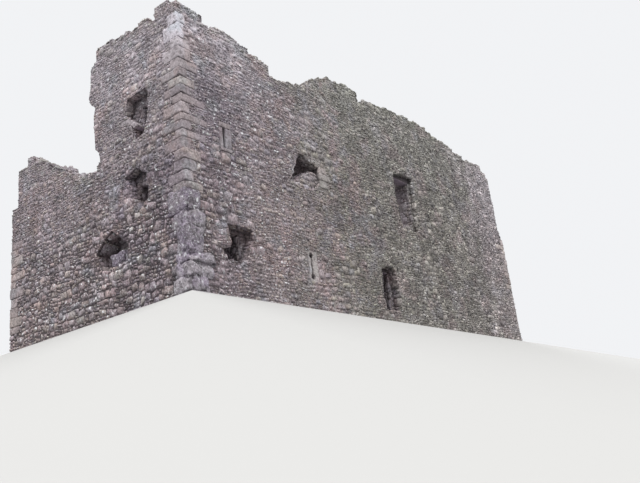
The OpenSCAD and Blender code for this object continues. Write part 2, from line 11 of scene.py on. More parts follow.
# %% Load the packed keep
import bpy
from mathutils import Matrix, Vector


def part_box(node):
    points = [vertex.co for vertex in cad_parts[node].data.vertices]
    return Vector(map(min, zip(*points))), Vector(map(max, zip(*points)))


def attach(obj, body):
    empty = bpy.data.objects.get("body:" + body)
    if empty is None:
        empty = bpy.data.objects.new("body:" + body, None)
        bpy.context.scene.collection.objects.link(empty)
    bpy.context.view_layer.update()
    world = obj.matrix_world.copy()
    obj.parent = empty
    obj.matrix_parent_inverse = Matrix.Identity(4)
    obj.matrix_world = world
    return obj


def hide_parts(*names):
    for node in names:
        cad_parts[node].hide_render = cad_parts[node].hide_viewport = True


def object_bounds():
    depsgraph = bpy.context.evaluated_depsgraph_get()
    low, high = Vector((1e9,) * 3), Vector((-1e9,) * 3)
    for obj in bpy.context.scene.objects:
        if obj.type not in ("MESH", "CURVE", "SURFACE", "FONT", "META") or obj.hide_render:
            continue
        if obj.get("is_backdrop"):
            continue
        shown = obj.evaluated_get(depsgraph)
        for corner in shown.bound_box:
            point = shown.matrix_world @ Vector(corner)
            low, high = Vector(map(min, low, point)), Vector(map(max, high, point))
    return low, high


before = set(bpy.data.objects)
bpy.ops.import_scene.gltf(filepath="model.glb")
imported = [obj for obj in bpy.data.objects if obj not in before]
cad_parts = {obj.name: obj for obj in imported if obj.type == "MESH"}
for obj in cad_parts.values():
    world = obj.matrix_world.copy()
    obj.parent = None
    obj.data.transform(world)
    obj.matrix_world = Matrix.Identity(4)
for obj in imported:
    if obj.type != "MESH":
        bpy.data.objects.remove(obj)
print(len(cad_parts), "pieces in the packed keep")

# %% [markdown]
# ## Tools
#
# Blender's bpy makes the objects and the materials. The stones come in tens of
# thousands, so their corners are worked out in numpy arrays and handed over in one go,
# which is far quicker than an operator call for each stone. The box of the bare keep is
# kept now, to be set against the dressed one at the end.

# %% Import the tools and keep the bare box
import math

import bpy
import numpy as np
from mathutils import Matrix, Vector
from mathutils.bvhtree import BVHTree

cad_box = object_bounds()
KEEP_LOW, KEEP_HIGH = (np.array(corner) for corner in cad_box)
print("bare size", np.round(KEEP_HIGH - KEEP_LOW, 3))

# %% [markdown]
# ## Walls and storeys
#
# The keep is a shell of thick walls round a vaulted basement and a roofless hall above.
# The model parts each wall into bays and storeys. Their names are listed here, because
# all of their bare faces get rubble. The paving of the hall tells how high the storeys
# meet and where the walls' inner faces are.

# %% Name the walls
WALLS = [
    "front_ground_left", "front_ground_loop_bay", "front_ground_door_bay", "front_ground_right",
    "front_hall_left", "front_hall_breach_bay", "front_hall_window_bay", "front_hall_right",
    "left_end_ground", "left_end_tall", "left_end_broken",
    "back_ground_left", "back_ground_right",
    "back_hall_left", "back_hall_middle", "back_hall_right",
    "right_end_ground", "right_end_hall",
    "breach_rubble", "hall_window_rubble",
]
INNER_HIGH = np.array(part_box("hall_paving")[1])
HALL_FLOOR = INNER_HIGH[2]
print(len(WALLS), "wall pieces, hall floor at", round(float(HALL_FLOOR), 3))

# %% [markdown]
# ## Chance and noise
#
# No two stones of a rubble wall are alike, yet the keep has to come out the same on each
# run. So whatever varies comes from one seeded generator, or from a noise that is worked
# out from the place alone. Blender's own noise can be asked point by point, but this one
# answers for a whole array of stones at once.

# %% Chance numbers on a lattice
SEED = 1547
LARGEST = 4294967295
PRIMES = np.array([374761393, 668265263, 2246822519], np.uint32)
SEED_STEP, STIR = 2654435, np.uint32(1274126177)
rng = np.random.default_rng(SEED)


def lattice(cell, seed):
    """One chance number from 0 to 1 for each whole-numbered point of space."""
    h = (cell.astype(np.int64).astype(np.uint32) * PRIMES).sum(-1, dtype=np.uint32)
    h = h + np.uint32(seed * SEED_STEP % LARGEST)
    h = (h ^ (h >> np.uint32(13))) * STIR
    h = h ^ (h >> np.uint32(16))
    return h / float(LARGEST)


print("chance at two points:", np.round(lattice(np.array([[0, 0, 0], [1, 0, 0]]), 1), 3))


# %% Smooth noise between the lattice points
def noise(points, size, seed):
    """Smooth noise from 0 to 1 at points, with lumps about size across."""
    p = np.asarray(points, float) / size
    base = np.floor(p)
    f = p - base
    f = f * f * (3 - 2 * f)
    total = 0
    for corner in np.ndindex(2, 2, 2):
        weight = np.prod(np.where(corner, f, 1 - f), axis=-1)
        total = total + weight * lattice(base + corner, seed)
    return total


print("noise at two corners:", np.round(noise([KEEP_LOW, KEEP_HIGH], 0.9, 5), 3))

# %% [markdown]
# ## Faces of the walls
#
# On the real keep the rubble runs on without a break from bay to bay. If each solid were
# dressed by itself, its joints would show as straight seams. So the triangles of all
# walls are sorted by the plane they lie in, whichever wall they belong to, and each
# plane is laid as one face.


# %% Read a solid's triangles
def node_mesh(name):
    """Corners (n, 3) and triangles (m, 3) of a solid."""
    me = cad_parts[name].data
    me.calc_loop_triangles()
    co = np.empty(len(me.vertices) * 3, np.float32)
    me.vertices.foreach_get("co", co)
    tri = np.empty(len(me.loop_triangles) * 3, np.int32)
    me.loop_triangles.foreach_get("vertices", tri)
    return co.reshape(-1, 3).astype(float), tri.reshape(-1, 3)


print("breach bay:", len(node_mesh("front_hall_breach_bay")[1]), "triangles")

# %% Sort the walls' triangles by plane
ROUNDING = 400
THINNEST = 1e-7
LEVEL = 0.5


def planes():
    """Triangles (k, 3, 3) of the walls for each plane, with the plane's normal."""
    found = {}
    for name in WALLS:
        co, tri = node_mesh(name)
        t = co[tri]
        n = np.cross(t[:, 1] - t[:, 0], t[:, 2] - t[:, 0])
        size = np.linalg.norm(n, axis=1)
        t, n = t[size > THINNEST], n[size > THINNEST] / size[size > THINNEST, None]
        offset = np.einsum("ij,ij->i", n, t[:, 0])
        keys = np.round(np.column_stack([n, offset]) * ROUNDING).astype(int)
        for key, one, normal in zip(map(tuple, keys), t, n):
            found.setdefault(key, ([], normal))[0].append(one)
    return [(np.array(group), normal) for group, normal in found.values()]


def axes_of(normal):
    """Directions along a face: level and upward on a wall, along the keep on a head."""
    if abs(normal[2]) < LEVEL:
        u = np.cross([0, 0, 1], normal)
    else:
        u = np.cross([0, np.sign(normal[2]), 0], normal)
    u = u / np.linalg.norm(u)
    return u, np.cross(normal, u)


WALL_FACES = planes()
print(len(WALL_FACES), "flat faces to look at")

# %% [markdown]
# ## What a face looks at
#
# Only bare faces get stones: where the next bay or a corner stone stands against a wall,
# there is nothing to see. A search tree of every solid answers such questions with a
# short ray from the face. The same rays tell which faces lie under an arch or a lintel,
# which look across an opening, and which are in the dark basement.

# %% Build the search tree of all solids
PROBE, WIDEST = 0.02, 2.6
UPWARD = Vector((0, 0, 1))


def solid_tree():
    """A search tree of every solid, to see what covers a face."""
    corners, faces, count = [], [], 0
    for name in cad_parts:
        co, tri = node_mesh(name)
        corners.append(co)
        faces.append(tri + count)
        count += len(co)
    return BVHTree.FromPolygons(np.vstack(corners).tolist(), np.vstack(faces).tolist())


TREE = solid_tree()
print("a ray up from the basement hits at", TREE.ray_cast(Vector((0, 0, 1)), UPWARD)[0])


# %% Ask the tree about a point
def covered(point, normal):
    """True if the place just off the face is inside another solid."""
    hit, way, _, _ = TREE.ray_cast(Vector(point + normal * PROBE), Vector(normal))
    return hit is not None and way.dot(Vector(normal)) > 0


def sheltered(point):
    """True if something is built above the point."""
    return TREE.ray_cast(Vector(point), UPWARD)[0] is not None


def faced(point, normal):
    """True if the other side of an opening stands in front of the face."""
    return TREE.ray_cast(Vector(point + normal * PROBE), Vector(normal), WIDEST)[0] is not None


print("basement sheltered:", sheltered((0, 0, 1)), "hall sheltered:", sheltered((0, 0, 5)))


# %% Ask where points are
def inward(points):
    """Distance from the keep's outer faces, for points (n, 3)."""
    return np.min(KEEP_HIGH[:2] - np.abs(points[:, :2]), axis=1)


def in_heap(points):
    """True on the heap of fallen stone in the tall hall window."""
    low, high = (np.array(corner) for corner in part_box("hall_window_rubble"))
    return np.all((points > low - PROBE) & (points < high + PROBE), axis=1)


def in_basement(points):
    """True on the inner faces of the walls under the hall's floor."""
    inside = np.all(np.abs(points[:, :2]) < INNER_HIGH[:2] + PROBE, axis=1)
    return inside & (points[:, 2] < HALL_FLOOR)


print("walls are", round(float(inward(INNER_HIGH[None])[0]), 2), "m thick")

# %% [markdown]
# ## A grid of cells on each face
#
# A mason fills a wall's outline whatever its shape, round the holes and up to the broken
# edge. To do the same, each face is cut into small square cells. A cell counts if its
# middle lies on the face and is bare. Cutting real stones with booleans would take far
# longer, and stones that are simply laid within the outline break off as real ones do.


# %% Find the bare cells of a face
def on_face(i, j, cell, u, v, base):
    """Points (n, 3) of a face at cell places i and j."""
    return (i * cell)[:, None] * u + (j * cell)[:, None] * v + base


def triangle_cells(tri, cell, low):
    """The block of cells round a triangle, and which of their middles lie in it."""
    first = np.floor(tri.min(0) / cell).astype(int) - low
    last = np.ceil(tri.max(0) / cell).astype(int) - low
    x = (np.arange(first[0], last[0]) + low[0] + 0.5) * cell
    y = (np.arange(first[1], last[1]) + low[1] + 0.5) * cell
    px, py = np.meshgrid(x, y)
    inside = np.ones(px.shape, bool)
    for a, b in ((0, 1), (1, 2), (2, 0)):
        side = tri[b] - tri[a]
        inside &= side[0] * (py - tri[a][1]) - side[1] * (px - tri[a][0]) >= 0
    return (slice(first[1], last[1]), slice(first[0], last[0])), inside


def face_cells(triangles, normal, cell):
    """Which cells of the face's grid are bare wall, with the grid's first cell."""
    u, v = axes_of(normal)
    flat = triangles @ np.column_stack([u, v])
    low = np.floor(flat.min((0, 1)) / cell).astype(int)
    high = np.ceil(flat.max((0, 1)) / cell).astype(int)
    mask = np.zeros((high - low)[::-1], bool)
    for tri in flat:
        block, inside = triangle_cells(tri, cell, low)
        mask[block] |= inside
    j, i = np.nonzero(mask)
    points = on_face(i + low[0] + 0.5, j + low[1] + 0.5, cell, u, v, normal * (triangles[0, 0] @ normal))
    bare = np.array([not covered(point, normal) for point in points], bool)
    mask[j, i] = bare & ~in_basement(points)
    return mask, low


print("bare cells of the first face:", int(face_cells(*WALL_FACES[0], 0.5)[0].sum()))


# %% Measure how far a cell is from the edge
def edge_distance(mask, most=8):
    """Cells from each cell to the edge of the mask, up to most."""
    total = np.zeros(mask.shape)
    left = np.pad(mask, 1)
    for _ in range(most):
        total += left[1:-1, 1:-1]
        left[1:-1, 1:-1] = (
            left[1:-1, 1:-1] & left[:-2, 1:-1] & left[2:, 1:-1] & left[1:-1, :-2] & left[1:-1, 2:]
        )
    return total


print("middle of a 9 cell square:", edge_distance(np.ones((9, 9), bool))[4, 4])

# %% [markdown]
# ## Laying the rubble
#
# The real walls are of field stones and broken whinstone, in rough courses of uneven
# height. Some stones take up a whole course, some share it in two, and now and then a
# big one runs through two courses. The courses break off every metre or so, as if
# several hands had built the wall. A brick texture or a scattered field of boulders
# gives neither, so the cells are filled row by row, as a mason works.

# %% Where each course ends
FINE, COARSE = (2, 2, 2, 3, 3, 4), (3, 4, 5, 6, 7)
HANDS, HAND_SEED = 5, 77
COURSES, LOWEST_COURSE = 900, -1200


def course_ends(rows, start):
    """Row at which each course ends, for each hand, small or large, and each row."""
    tables = np.empty((HANDS, 2, rows), int)
    for hand in range(HANDS):
        for large, heights in enumerate((FINE, COARSE)):
            chance = np.random.default_rng(HAND_SEED + 10 * hand + large)
            tops = np.cumsum(chance.choice(heights, COURSES)) + LOWEST_COURSE
            rank = np.searchsorted(tops, np.arange(rows) + start, side="right")
            tables[hand, large] = tops[rank] - start
    return tables.tolist()


print("first courses of one hand end at rows", sorted(set(course_ends(20, 0)[0][0])))

# %% Whose stretch of wall it is
BLOCK, BAND, SHIFT = 21, 13, 11


def hand_at(column, band):
    """Which hand built that place. Each one's stretch of wall is a block of cells."""
    return ((column + SHIFT * band) // BLOCK * 3 + band * 2) % HANDS


print("hands that built the lowest band:", [hand_at(x, 0) for x in range(0, 5 * BLOCK, BLOCK)])

# %% Fill a face with stones
SPLIT_TALL, SPLIT_LOW, SINGLE, THROUGH = 0.55, 0.25, 0.12, 0.965
LEAST_LENGTH, LEAST_SHARE, LEAST_TALL = 0.9, 0.7, 1.6


def run_length(row, first, most):
    """How many free cells follow one another in a row."""
    end = row.find(0, first, first + most)
    return (end if end >= 0 else min(first + most, len(row))) - first


def stone_height(tall):
    """Rows that a stone takes up in a course of that height, by chance."""
    luck = rng.random()
    if tall >= 4 and luck < SPLIT_TALL:
        return tall // 2
    if tall == 3 and luck < SPLIT_LOW:
        return 1 + (luck < SINGLE)
    return tall + 2 * (luck > THROUGH)


def stone_cells(free, x, y, tall, slender):
    """Width and height in cells of the stone that starts at a free cell."""
    longest = slender * min(1, 2 / math.sqrt(tall))
    wide = max(2, round(max(tall, LEAST_TALL) * rng.uniform(LEAST_LENGTH, longest)))
    wide = run_length(free[y], x, wide)
    high = 1
    while high < tall and y + high < len(free):
        run = run_length(free[y + high], x, wide)
        if run < max(1, LEAST_SHARE * wide):
            break
        wide = run
        high += 1
    last_cell_is_left = all(run_length(free[r], x + wide, 2) == 1 for r in range(y, y + high))
    return wide + last_cell_is_left, high


def lay(mask, low, large, slender):
    """Fills the free cells with stones. Gives each one's first and last cell."""
    free = [bytearray(row.astype(np.uint8).tobytes()) for row in mask]
    ends = course_ends(len(free), int(low[1]))
    stones = []
    for y, row in enumerate(free):
        band = (y + int(low[1])) // BAND
        x = row.find(1)
        while x >= 0:
            hand = hand_at(x + int(low[0]), band)
            tall = stone_height(ends[hand][int(large[y, x])][y] - y)
            wide, high = stone_cells(free, x, y, tall, slender)
            for r in range(y, y + high):
                free[r][x:x + wide] = bytes(wide)
            stones.append((x, y, x + wide, y + high))
            x = row.find(1, x + wide)
    return np.array(stones)


print("free cells in a row of nine:", run_length(bytearray([1] * 9), 0, 20))

# %% [markdown]
# ## The shape of one stone
#
# Each stone is roughly broken: its outline has cut corners, its face is domed or flat
# and leans a little, and its foot sits in the mortar. Big stones get eight sides and
# small ones six, with one ring and one top point, which is all that shows at this size.
# A sculpted or subdivided stone would cost a hundred times the triangles.

# %% Outlines of the stones
BIG_X = np.array([1, 1, -1, -1, -1, -1, 1, 1])
BIG_Y = np.array([1, 1, 1, 1, -1, -1, -1, -1])
BIG_CUT = np.array([0, 1, 1, 0, 0, 1, 1, 0])
SMALL_X = np.array([1, 1, 0, -1, -1, 0])
SMALL_Y = np.array([-1, 1, 1, 1, -1, -1])
CUT, PULLED_X, PULLED_Y = (0.05, 0.55), 0.45, 0.3
WANDER = 0.1


def outline_of(half_x, half_y, sides):
    """Corners (n, sides) of the stones' outlines."""
    n = len(half_x)
    small = np.minimum(half_x, half_y)[:, None]
    if sides == 8:
        cut = rng.uniform(*CUT, (n, 8)) * small
        x = BIG_X * (half_x[:, None] - cut * BIG_CUT)
        y = BIG_Y * (half_y[:, None] - cut * (1 - BIG_CUT))
    else:
        x = SMALL_X * (half_x[:, None] - rng.uniform(0, PULLED_X, (n, 6)) * small)
        y = SMALL_Y * (half_y[:, None] - rng.uniform(0, PULLED_Y, (n, 6)) * small)
        x = x + (SMALL_X == 0) * rng.uniform(-PULLED_X, PULLED_X, (n, 6)) * half_x[:, None]
    x = x + rng.uniform(-WANDER, WANDER, (n, sides)) * small
    y = y + rng.uniform(-WANDER, WANDER, (n, sides)) * small
    return x, y


print("sides of a big and a small stone:", len(BIG_X), len(SMALL_X))

# %% Foot, ring and top of the stones
SUNK = 0.025
LEAN, MOST_LEAN = 0.14, 0.035
THINNEST_RIM = 0.003
SLOPE, LEAST_SLOPE, MOST_SLOPE = (0.1, 0.6), 0.03, 0.3
RIM, RIM_VARIES, TOP, TOP_OFF = (0.6, 1.0), (0.75, 1.1), (0.95, 1.25), 0.3


def stone_shapes(half_x, half_y, proud, turn, sides):
    """Points (n, 2 * sides + 1, 3) of stones lying on a flat face, in its own axes."""
    n = len(half_x)
    small = np.minimum(half_x, half_y)[:, None]
    x, y = outline_of(half_x, half_y, sides)
    x, y = x * np.cos(turn) - y * np.sin(turn), x * np.sin(turn) + y * np.cos(turn)
    shrink = 1 - np.clip(proud * rng.uniform(*SLOPE, (n, 1)) / small, LEAST_SLOPE, MOST_SLOPE)
    lean_x, lean_y = rng.normal(0, LEAN, (2, n, 1))
    rim = proud * rng.uniform(*RIM, (n, 1)) * rng.uniform(*RIM_VARIES, (n, sides))
    rim = rim + (lean_x * x + lean_y * y).clip(-MOST_LEAN, MOST_LEAN)
    top = proud * rng.uniform(*TOP, (n, 1))
    foot = np.stack([x, y, np.full_like(x, -SUNK)], -1)
    ring = np.stack([x * shrink, y * shrink, rim.clip(THINNEST_RIM)], -1)
    off = rng.uniform(-TOP_OFF, TOP_OFF, (2, n, 1)) * small
    return np.concatenate([foot, ring, np.stack([off[0], off[1], top], -1)], 1)


def repeated(faces, count, corners):
    """The faces of one shape repeated for many, each shape with that many corners."""
    return (faces[None] + np.arange(count)[:, None, None] * corners).reshape(-1, faces.shape[1])


def stone_faces(count, sides):
    """Triangles of that many stones."""
    one = []
    for i in range(sides):
        j = (i + 1) % sides
        one += [(i, j, sides + j), (i, sides + j, sides + i), (sides + i, sides + j, 2 * sides)]
    return repeated(np.array(one), count, 2 * sides + 1)


print("triangles of a big and a small stone:", len(stone_faces(1, 8)), len(stone_faces(1, 6)))

# %% [markdown]
# ## Many stones, one mesh
#
# Tens of thousands of objects would make Blender crawl, so all the stones of one face
# join one mesh. What differs from stone to stone is stored as numbers on its points, for
# the material to read: a random pick for its colour, how close it is to the broken head,
# how deep it lies in an opening, which sets a painted fill light there, and how much
# painted shade it gets in a recess or on the fallen heap.

# %% Make a mesh from arrays
NUMBERS = ("pick", "crown", "shade", "painted_shade")


def into_scene(name, data):
    """A new object with that data, linked into the scene."""
    obj = bpy.data.objects.new(name, data)
    bpy.context.scene.collection.objects.link(obj)
    return obj


def mesh_of(name, points, faces, numbers):
    """A mesh object from arrays, with one float for each point under each name in numbers."""
    me = bpy.data.meshes.new(name)
    me.vertices.add(len(points))
    me.vertices.foreach_set("co", points.astype(np.float32).ravel())
    me.loops.add(faces.size)
    me.loops.foreach_set("vertex_index", faces.astype(np.int32).ravel())
    me.polygons.add(len(faces))
    me.polygons.foreach_set("loop_start", np.arange(0, faces.size, faces.shape[1], dtype=np.int32))
    me.update(calc_edges=True)
    for key, values in numbers.items():
        me.attributes.new(key, "FLOAT", "POINT").data.foreach_set("value", values.astype(np.float32))
    obj = into_scene(name, me)
    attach(obj, "root")
    return obj


print("numbers kept for each stone:", ", ".join(NUMBERS))


# %% Gather stones into a heap
class Heap:
    """Stones gathered for one piece."""

    def __init__(self):
        self.points, self.faces, self.numbers = [], [], []
        self.stones, self.corners = 0, 0

    def add(self, shapes, sides, numbers):
        """Takes stones (n, corners, 3) with their numbers (n, 4)."""
        self.points.append(shapes.reshape(-1, 3))
        self.faces.append(stone_faces(len(shapes), sides) + self.corners)
        self.numbers.append(np.repeat(numbers, shapes.shape[1], axis=0))
        self.corners += shapes.shape[0] * shapes.shape[1]
        self.stones += len(shapes)

    def piece(self, name, material, slot):
        """The stones as one object."""
        numbers = dict(zip(NUMBERS, np.concatenate(self.numbers).T))
        obj = mesh_of(name, np.concatenate(self.points), np.concatenate(self.faces), numbers)
        obj.data.materials.append(material)
        print(f"{name}: {self.stones} stones, {len(obj.data.polygons)} triangles")


print("a new heap holds", Heap().stones, "stones")

# %% [markdown]
# ## Stones that can be told one by one
#
# Round the robbed windows of the near corner a few stones catch the eye: a broken arch
# of thin stones on edge over the lower window, and pale blocks beside the holes. Chance
# would not put them there, so they are listed and laid before the rest.

# %% List the known stones
KNOWN_START = {"front_upper_stones": (KEEP_LOW[0], 1), "left_end_stones": (-KEEP_LOW[1], -1)}
KNOWN_STONES = {
    # piece: from the near corner, height above the base, width, height, turn, pick
    "front_upper_stones": [
        (1.76, 2.4, 0.46, 0.32, 0.05, 0.95), (1.65, 3.1, 0.36, 0.27, 0.0, 0.93),
        (1.6, 2.76, 0.09, 0.36, 0.5, 0.86), (1.75, 2.78, 0.1, 0.38, 0.3, 0.9),
        (1.9, 2.8, 0.09, 0.36, 0.1, 0.84), (1.99, 3.08, 0.24, 0.22, 0.0, 0.6),
        (2.46, 2.38, 0.34, 0.2, 0.0, 0.96), (2.56, 1.55, 0.26, 0.26, 0.1, 0.5),
        (2.83, 1.96, 0.3, 0.22, 0.0, 0.88), (2.84, 1.58, 0.26, 0.26, 0.0, 0.9),
        (0.93, 1.54, 0.28, 0.2, 0.1, 0.98),
    ],
    "left_end_stones": [
        (3.05, 3.83, 0.38, 0.4, 0.1, 0.91), (2.52, 3.28, 0.42, 0.3, 0.0, 0.945),
        (2.46, 3.01, 0.5, 0.22, 0.15, 0.1), (3.12, 3.35, 0.26, 0.16, 0.1, 0.93),
        (3.25, 3.1, 0.3, 0.2, 0.0, 0.94), (2.52, 2.78, 0.3, 0.25, 0.2, 0.97),
        (2.1, 2.77, 0.22, 0.18, 0.0, 0.98), (2.44, 2.44, 0.18, 0.16, 0.0, 0.99),
        (2.04, 2.26, 0.2, 0.2, 0.0, 0.98),
    ],
}


def known_cells(kind, cell, low):
    """First and last cell of each known stone of a piece's face."""
    start, way = KNOWN_START[kind]
    known = np.array(KNOWN_STONES[kind])
    middle = np.column_stack([start + way * known[:, 0], KEEP_LOW[2] + known[:, 1]])
    first = np.round((middle - known[:, 2:4] / 2) / cell).astype(int) - low
    last = np.round((middle + known[:, 2:4] / 2) / cell).astype(int) - low
    return np.column_stack([first, last])


print("stones laid by hand:", sum(len(stones) for stones in KNOWN_STONES.values()))

# %% [markdown]
# ## Which face gets which stones
#
# The outer faces are of small stones close together, the hall's faces of coarser ones,
# and the broken heads of loose uneven ones. The foot of the near corner and much of the
# left end are of larger stones that have lost their mortar. One table holds the cell
# size, how far the stones stand out and how long they may be, so each face can be tuned
# by itself. The unseen faces get larger cells, which keeps the triangles down.

# %% Sort the faces into pieces
KINDS = {
    # piece: cell, least proud, most proud, how long a stone may be for its height
    "front_lower_stones": (0.039, 0.006, 0.06, 2.3),
    "front_upper_stones": (0.039, 0.006, 0.055, 2.4),
    "left_end_stones": (0.04, 0.008, 0.075, 2.0),
    "back_wall_stones": (0.066, 0.012, 0.055, 2.2),
    "right_end_stones": (0.066, 0.012, 0.055, 2.2),
    "hall_stones": (0.098, 0.01, 0.045, 2.2),
    "opening_stones": (0.062, 0.01, 0.06, 1.9),
    "head_stones": (0.058, 0.02, 0.12, 1.8),
}
SLOPING, SQUARE = 0.3, 0.999


def kind_of(normal, depth):
    """The piece that a face's stones go to."""
    if normal[2] > LEVEL:
        return "head_stones"
    if abs(normal[2]) > SLOPING:
        return "opening_stones"
    axis = int(abs(normal[0]) > abs(normal[1]))
    flat = abs(normal[1 - axis]) > SQUARE
    if flat and axis == 0 and abs(depth - KEEP_HIGH[1]) < PROBE:
        return "front_upper_stones" if normal[1] < 0 else "back_wall_stones"
    if flat and axis == 1 and abs(depth - KEEP_HIGH[0]) < PROBE:
        return "left_end_stones" if normal[0] < 0 else "right_end_stones"
    if flat and abs(depth + INNER_HIGH[1 - axis]) < PROBE:
        return "hall_stones"
    return "opening_stones"


print("a face that looks up gets", kind_of(UPWARD, 9.0))

# %% Where the stones are large
LARGE_REACH, LARGE_TOP = 1.2, 3.4
RAGGED, RAGGED_LUMP, RAGGED_SEED = 1.6, 0.8, 21
ODD_NEAR, ODD_FAR, ODD_LEFT, ODD_PATCH, ODD_SEED = 0.72, 0.56, 0.58, 1.3, 22
MORE_FROM, MORE_OVER = 3.0, 7.0


def large_cells(mask, low, cell, u, v, base):
    """Which cells get large stones."""
    j, i = np.indices(mask.shape).reshape(2, -1)
    points = on_face(i + low[0], j + low[1], cell, u, v, base)
    ragged = RAGGED * (noise(points, RAGGED_LUMP, RAGGED_SEED) - 0.5)
    near = (points[:, 0] + ragged < KEEP_LOW[0] + LARGE_REACH) & (points[:, 2] + ragged < LARGE_TOP)
    along = np.clip((points[:, 0] - KEEP_LOW[0] - MORE_FROM) / MORE_OVER, 0, 1)
    rare = ODD_NEAR + (ODD_FAR - ODD_NEAR) * along
    on_end = abs(u[1]) > 0.5
    odd = noise(points, ODD_PATCH, ODD_SEED) > (ODD_LEFT if on_end else rare)
    return (near | odd).reshape(mask.shape)


print("large stones reach", LARGE_REACH, "m along the front and", LARGE_TOP, "m up")

# %% [markdown]
# ## How far each stone stands out
#
# Weather eats the mortar first, so most stones lie nearly flush and a few stand proud.
# A power of a chance number gives just that spread, and a slow noise lets whole patches
# bulge. High on the left end the face is flatter, and to the right along the front it
# is rougher. No stone stands out further than its own size allows.

# %% Height of the stones above the mortar
FLATTER_FROM, FLATTER_TO, FLATTER = 3.5, 7.5, 0.45
PROUDER, PROUDER_FROM, PROUDER_OVER = 0.35, 6, 4
SWELL, SWELL_SIZE, SWELL_SEED, RARELY = 0.25, 0.9, 5, 2.5
HEAD_RARELY = 2
MOST_SHARE, MOST_ADDED = 0.75, 0.02


def how_proud(kind, place, half):
    """How far each stone stands out of its face."""
    _, least, most, _ = KINDS[kind]
    count = len(place)
    swell = noise(place, SWELL_SIZE, SWELL_SEED)
    luck = rng.random(count) ** RARELY
    proud = least + (most - least) * ((1 - SWELL) * luck + SWELL * swell)
    if kind == "left_end_stones":
        high = (place[:, 2] - FLATTER_FROM) / (FLATTER_TO - FLATTER_FROM)
        proud = proud * (1 - FLATTER * np.clip(high, 0, 1))
    if kind == "front_upper_stones":
        along = (place[:, 0] - KEEP_LOW[0] - PROUDER_FROM) / PROUDER_OVER
        proud = proud * (1 + PROUDER * np.clip(along, 0, 1))
    if kind == "head_stones":
        proud = least + (most - least) * rng.random(count) ** HEAD_RARELY
    return np.minimum(proud, MOST_SHARE * half.min(1) + MOST_ADDED)


print("outer faces stand out up to", max(KINDS[kind][2] for kind in list(KINDS)[:5]), "m")

# %% [markdown]
# ## Moss, painted shade and painted fill light on each stone
#
# Moss grows on the broken heads and on the stones just below them. Inside an opening,
# where a stone lies just behind the outer face under cover, and on the fallen heap of the
# hall window, it gets painted shade. Deeper in, where little light reaches, it gets a pale
# purplish colour instead, which is painted fill light. Painting this by hand would take an
# image. Here each stone asks the search tree what is above it and in front of it, and
# keeps the answers as its numbers.

# %% How near the broken head
CROWN_STEPS = (0.08, 0.17, 0.28, 0.4, 0.55)
CROWN_FULL, BEHIND_FACE = 1.1, 5 * PROBE


def crown_at(point, normal):
    """How near a stone is to the broken head above it, from 0 to 1."""
    for step in CROWN_STEPS:
        probe = Vector(point + normal * PROBE) + UPWARD * step
        if TREE.ray_cast(probe, Vector(-normal), BEHIND_FACE)[0] is None:
            return 0.0 if sheltered(probe) else CROWN_FULL - step / CROWN_STEPS[-1]
    return 0.0


print("moss reaches", CROWN_STEPS[-1], "m down from a head")

# %% Crown, painted fill light and painted shade of the stones
MOSS_FROM = HALL_FLOOR + 1
SIDE_MOSS = 0.4
DEEP_FROM, DEEP_OVER = 0.4, 0.4
RECESS_FROM, RECESS_OVER, RECESS_TO, RECESS_FADE = 0.12, 0.1, 0.6, 0.15
GLOOMY, PALER, END_SILL, END_REACH = 0.7, 0.3, 5.0, 1.2


def recessed(deep):
    """From 0 to 1, how much a place just behind the outer face is in the gloom."""
    begins = np.clip((deep - RECESS_FROM) / RECESS_OVER, 0, 1)
    return begins * np.clip((RECESS_TO - deep) / RECESS_FADE, 0, 1)


def exposure(kind, place, normal):
    """How near the head each stone lies, how deep in an opening for its painted fill light, and how much
    painted shade it gets.
    """
    crown, shade, painted_shade = np.zeros((3, len(place)))
    if kind in ("head_stones", "opening_stones"):
        under = np.array([sheltered(point) for point in place + normal * PROBE])
        closed = np.array([faced(point, normal) for point in place])
        crown = ~under * (place[:, 2] > MOSS_FROM) * (1.0 if normal[2] > LEVEL else SIDE_MOSS)
        deep = inward(place)
        # Deep in an opening, under cover and across from its other side, a stone gets painted fill light.
        shade = np.clip((deep - DEEP_FROM) / DEEP_OVER, 0, 1) * under * closed
        # Just behind the outer face under cover, and on the fallen heap, a stone gets painted shade,
        # weaker on the right and in the upper end window.
        in_end = (place[:, 2] > END_SILL) & (KEEP_HIGH[0] - np.abs(place[:, 0]) < END_REACH)
        gloom = np.where((place[:, 0] > 0) | in_end, PALER, GLOOMY)
        gloom = gloom * recessed(deep) * under * (normal[2] > -SLOPING)
        painted_shade = np.maximum(PALER * in_heap(place), gloom)
    elif kind != "hall_stones":
        high_up = np.nonzero(place[:, 2] > MOSS_FROM)[0]
        crown[high_up] = [crown_at(place[k], normal) for k in high_up]
    return crown, shade, painted_shade


# The core colour named here is painted fill light.
print("stones turn to core colour from", DEEP_FROM, "m in")

# %% [markdown]
# ## Laying one face
#
# Now the steps join: find the bare cells, set the known stones, fill the rest, nudge and
# turn each stone, and bend the courses with a slow noise, since no course of an old wall
# is level. Near an edge the bend fades out, so that no stone leaves the wall.

# %% Pick and turn of the stones
UNEVEN = 0.19
SMALL_STONE, BIG_STONE = 0.08, 0.13
PLAIN_PICK, PLAINER = 0.5, 0.25


def picks_and_turns(kind, half, known):
    """A random pick for each stone's colour, and how far it is turned."""
    count = len(half)
    picks = rng.random(count)
    big = np.clip((2 * half.min(1) - SMALL_STONE) / (BIG_STONE - SMALL_STONE), 0, 1)
    picks += big * PLAINER * (PLAIN_PICK - picks)
    turns = rng.normal(0, UNEVEN, count)
    if known:
        turns[:known], picks[:known] = np.array(KNOWN_STONES[kind])[:, 4:].T
    return picks, turns


print("a big stone is over", BIG_STONE, "m")

# %% Fill a face's outline and bend its courses
SWAY, SWAY_MARGIN = 0.16, 0.25
UP_SIZE, UP_SEED, ALONG_SIZE, ALONG_SEED = 0.75, 31, 0.5, 32


